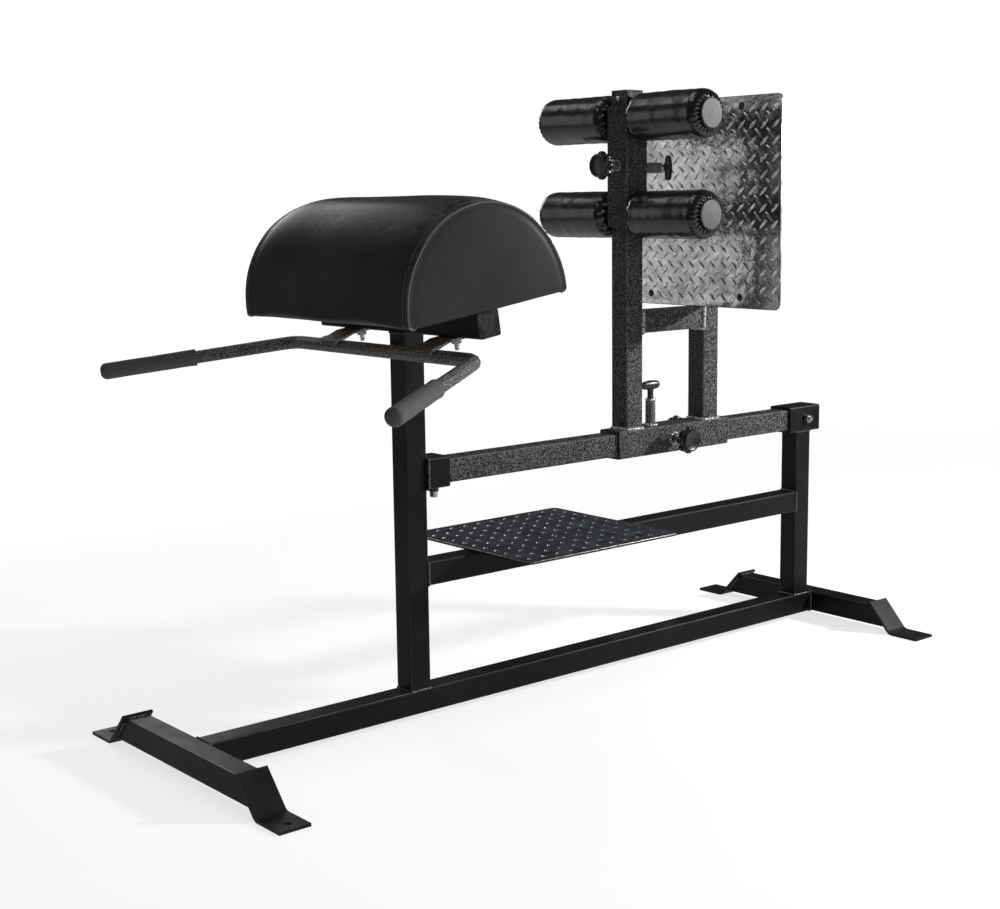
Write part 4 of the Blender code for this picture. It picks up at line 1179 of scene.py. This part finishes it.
def pull_handle(name, point, direction, across, barrel, rise):
    """A moulded T-handle on its stem, and the zinc pin below it that runs down the barrel."""
    base = facing(point, direction, across)
    sides, steps = 28, 24
    bar = []
    for i in range(steps + 1):
        share = -1 + 2 * i / steps
        edge = (1 - abs(share) ** 9) ** 0.45
        swell = 0.90 + 0.10 * math.cos(share * math.pi)
        radius = max(T_RADIUS * edge * swell, 0.0004)
        row = []
        for k in range(sides):
            turn = TAU * k / sides
            y, z = T_FLAT * radius * math.cos(turn), radius * math.sin(turn)
            row.append(base @ Vector((share * T_HALF, y, barrel + rise + z)))
        bar.append(row)
    bm = bmesh.new()
    capped(bm, bar)
    stem = [(0.0072, barrel + 0.0028), (0.0078, barrel + 0.0034), (0.0074, barrel + 0.40 * rise)]
    stem += [(0.0078, barrel + 0.62 * rise), (0.0092, barrel + 0.78 * rise), (0.0070, barrel + rise)]
    turned(bm, stem, 28, base @ Matrix.Diagonal((1, 0.80, 1, 1)))
    piece(f"{name}_handle", bm, name, "black_plastic", replaces=[name], sharp=50)
    bm = bmesh.new()
    turned(bm, [(0.0044, -0.0060), (0.0046, 0.004), (0.0046, barrel + 0.0030)], 24, base)
    piece(f"{name}_stem", bm, name, "zinc")


def barrel_ring(name, body, point, direction, barrel):
    """The bright turned collar at the mouth of a pull pin's barrel."""
    base = facing(point, direction)
    profile = (
        (0.0053, 0.0021), (0.0100, 0.0021), (0.0108, 0.0018), (0.0118, 0.0006),
        (0.0119, -0.0030), (0.0116, -0.0034), (0.0053, -0.0030),
    )
    bm = bmesh.new()
    rows = [ring(base, 40, barrel + height, radius) for radius, height in profile]
    skin(bm, rows, around=True, closed=True)
    piece(name, bm, body, "zinc")


# ---- stage


def camera():
    lens = bpy.data.cameras.new("camera")
    lens.lens = CAMERA_LENS
    lens.sensor_width = 36
    lens.sensor_fit = "HORIZONTAL"
    lens.clip_start, lens.clip_end = 0.05, 200
    thing = placed("camera", lens)
    level = math.cos(CAMERA_DOWN)
    view = Vector((math.cos(CAMERA_YAW) * level, math.sin(CAMERA_YAW) * level, -math.sin(CAMERA_DOWN)))
    right = view.cross(Z_AXIS).normalized()
    up = right.cross(view)
    turn, lift = math.cos(CAMERA_ROLL), math.sin(CAMERA_ROLL)
    axes = Matrix((turn * right + lift * up, turn * up - lift * right, -view)).transposed().to_4x4()
    axes.translation = CAMERA_AT
    thing.matrix_world = axes
    bpy.context.scene.camera = thing


def light(name, place, target, size, power):
    lamp = bpy.data.lights.new(name, "AREA")
    lamp.shape = "RECTANGLE"
    lamp.size, lamp.size_y = size
    lamp.energy = power
    thing = placed(name, lamp)
    away = Vector(place) - Vector(target)
    thing.location = place
    thing.rotation_euler = away.to_track_quat("Z", "Y").to_euler()
    thing.visible_camera = False


def fade(look, reach, distances, values):
    """A value that goes from one to another between two distances from the middle of the floor."""
    near, far = distances
    start, end = values
    made = look.node("ShaderNodeMapRange", From_Min=near, From_Max=far, To_Min=start, To_Max=end)
    look.link(reach, made.inputs["Value"])
    return made.outputs["Result"]


def floor_finish():
    """A pale floor. It has no horizon, and it lights the machine only from close by."""
    look = Finish("floor", 0.42, 0.9, specular=0.0)
    look.shader.inputs["Emission Color"].default_value = opaque(1)
    length = look.node("ShaderNodeVectorMath")
    length.operation = "LENGTH"
    look.link(look.place, length.inputs[0])
    reach = length.outputs["Value"]
    shown = look.node("ShaderNodeMix")
    look.link(look.node("ShaderNodeLightPath").outputs["Is Camera Ray"], shown.inputs["Factor"])
    look.link(fade(look, reach, BOUNCE_REACH, (FLOOR_BOUNCE, 0.03)), shown.inputs["A"])
    look.link(fade(look, reach, GLOW_REACH, (FLOOR_GLOW, 1.0)), shown.inputs["B"])
    look.link(shown.outputs["Result"], look.shader.inputs["Emission Strength"])
    return look.made


def studio():
    """White to the camera and dim to everything else, so that black paint stays black."""
    world = bpy.data.worlds.new("studio")
    bpy.context.scene.world = world
    world.use_nodes = True
    nodes, links = world.node_tree.nodes, world.node_tree.links
    rays = nodes.new("ShaderNodeLightPath")
    strength = nodes.new("ShaderNodeMapRange")
    strength.inputs["To Min"].default_value = AMBIENT
    strength.inputs["To Max"].default_value = 1.0
    links.new(rays.outputs["Is Camera Ray"], strength.inputs["Value"])
    links.new(strength.outputs["Result"], nodes["Background"].inputs["Strength"])
    nodes["Background"].inputs["Color"].default_value = opaque(1)
    bpy.context.scene.view_settings.view_transform = "Standard"


def stage():
    bm = bmesh.new()
    bmesh.ops.create_circle(bm, cap_ends=True, radius=60, segments=64)
    mesh = bpy.data.meshes.new("floor")
    bm.to_mesh(mesh)
    bm.free()
    mesh.materials.append(floor_finish())
    placed("floor", mesh)
    studio()
    for name, place, target, size, power in LIGHTS:
        light(name, place, target, size, power)


# ---- the whole


camera()
stage()
finish_nodes()
pad_cover()
pad_stitches()
pad_piping()
for level in ("low", "top"):
    for side in ("near", "far"):
        roller_cover(level, side)
for side in ("near", "far"):
    grip_cover(side)
toe_tread()
step_bumps()
plate_rims()
frame_welds()
carriage_welds()
roller_sleeve_welds()
star_knob("carriage_knob_near", CARRIAGE_KNOB_NEAR_AT, -Y_AXIS)
star_knob("carriage_knob_far", CARRIAGE_KNOB_FAR_AT, Y_AXIS)
star_knob("sleeve_knob", SLEEVE_KNOB_AT, -X_AXIS)
pull_handle("carriage_pin", CARRIAGE_PIN_AT, Z_AXIS, X_AXIS, CARRIAGE_BARREL, CARRIAGE_RISE)
pull_handle("sleeve_pin", SLEEVE_PIN_AT, X_AXIS, Z_AXIS, SLEEVE_BARREL, SLEEVE_RISE)
barrel_ring("carriage_pin_ring", "carriage", CARRIAGE_PIN_AT, Z_AXIS, CARRIAGE_BARREL)
barrel_ring("sleeve_pin_ring", "roller_carriage", SLEEVE_PIN_AT, X_AXIS, SLEEVE_BARREL)
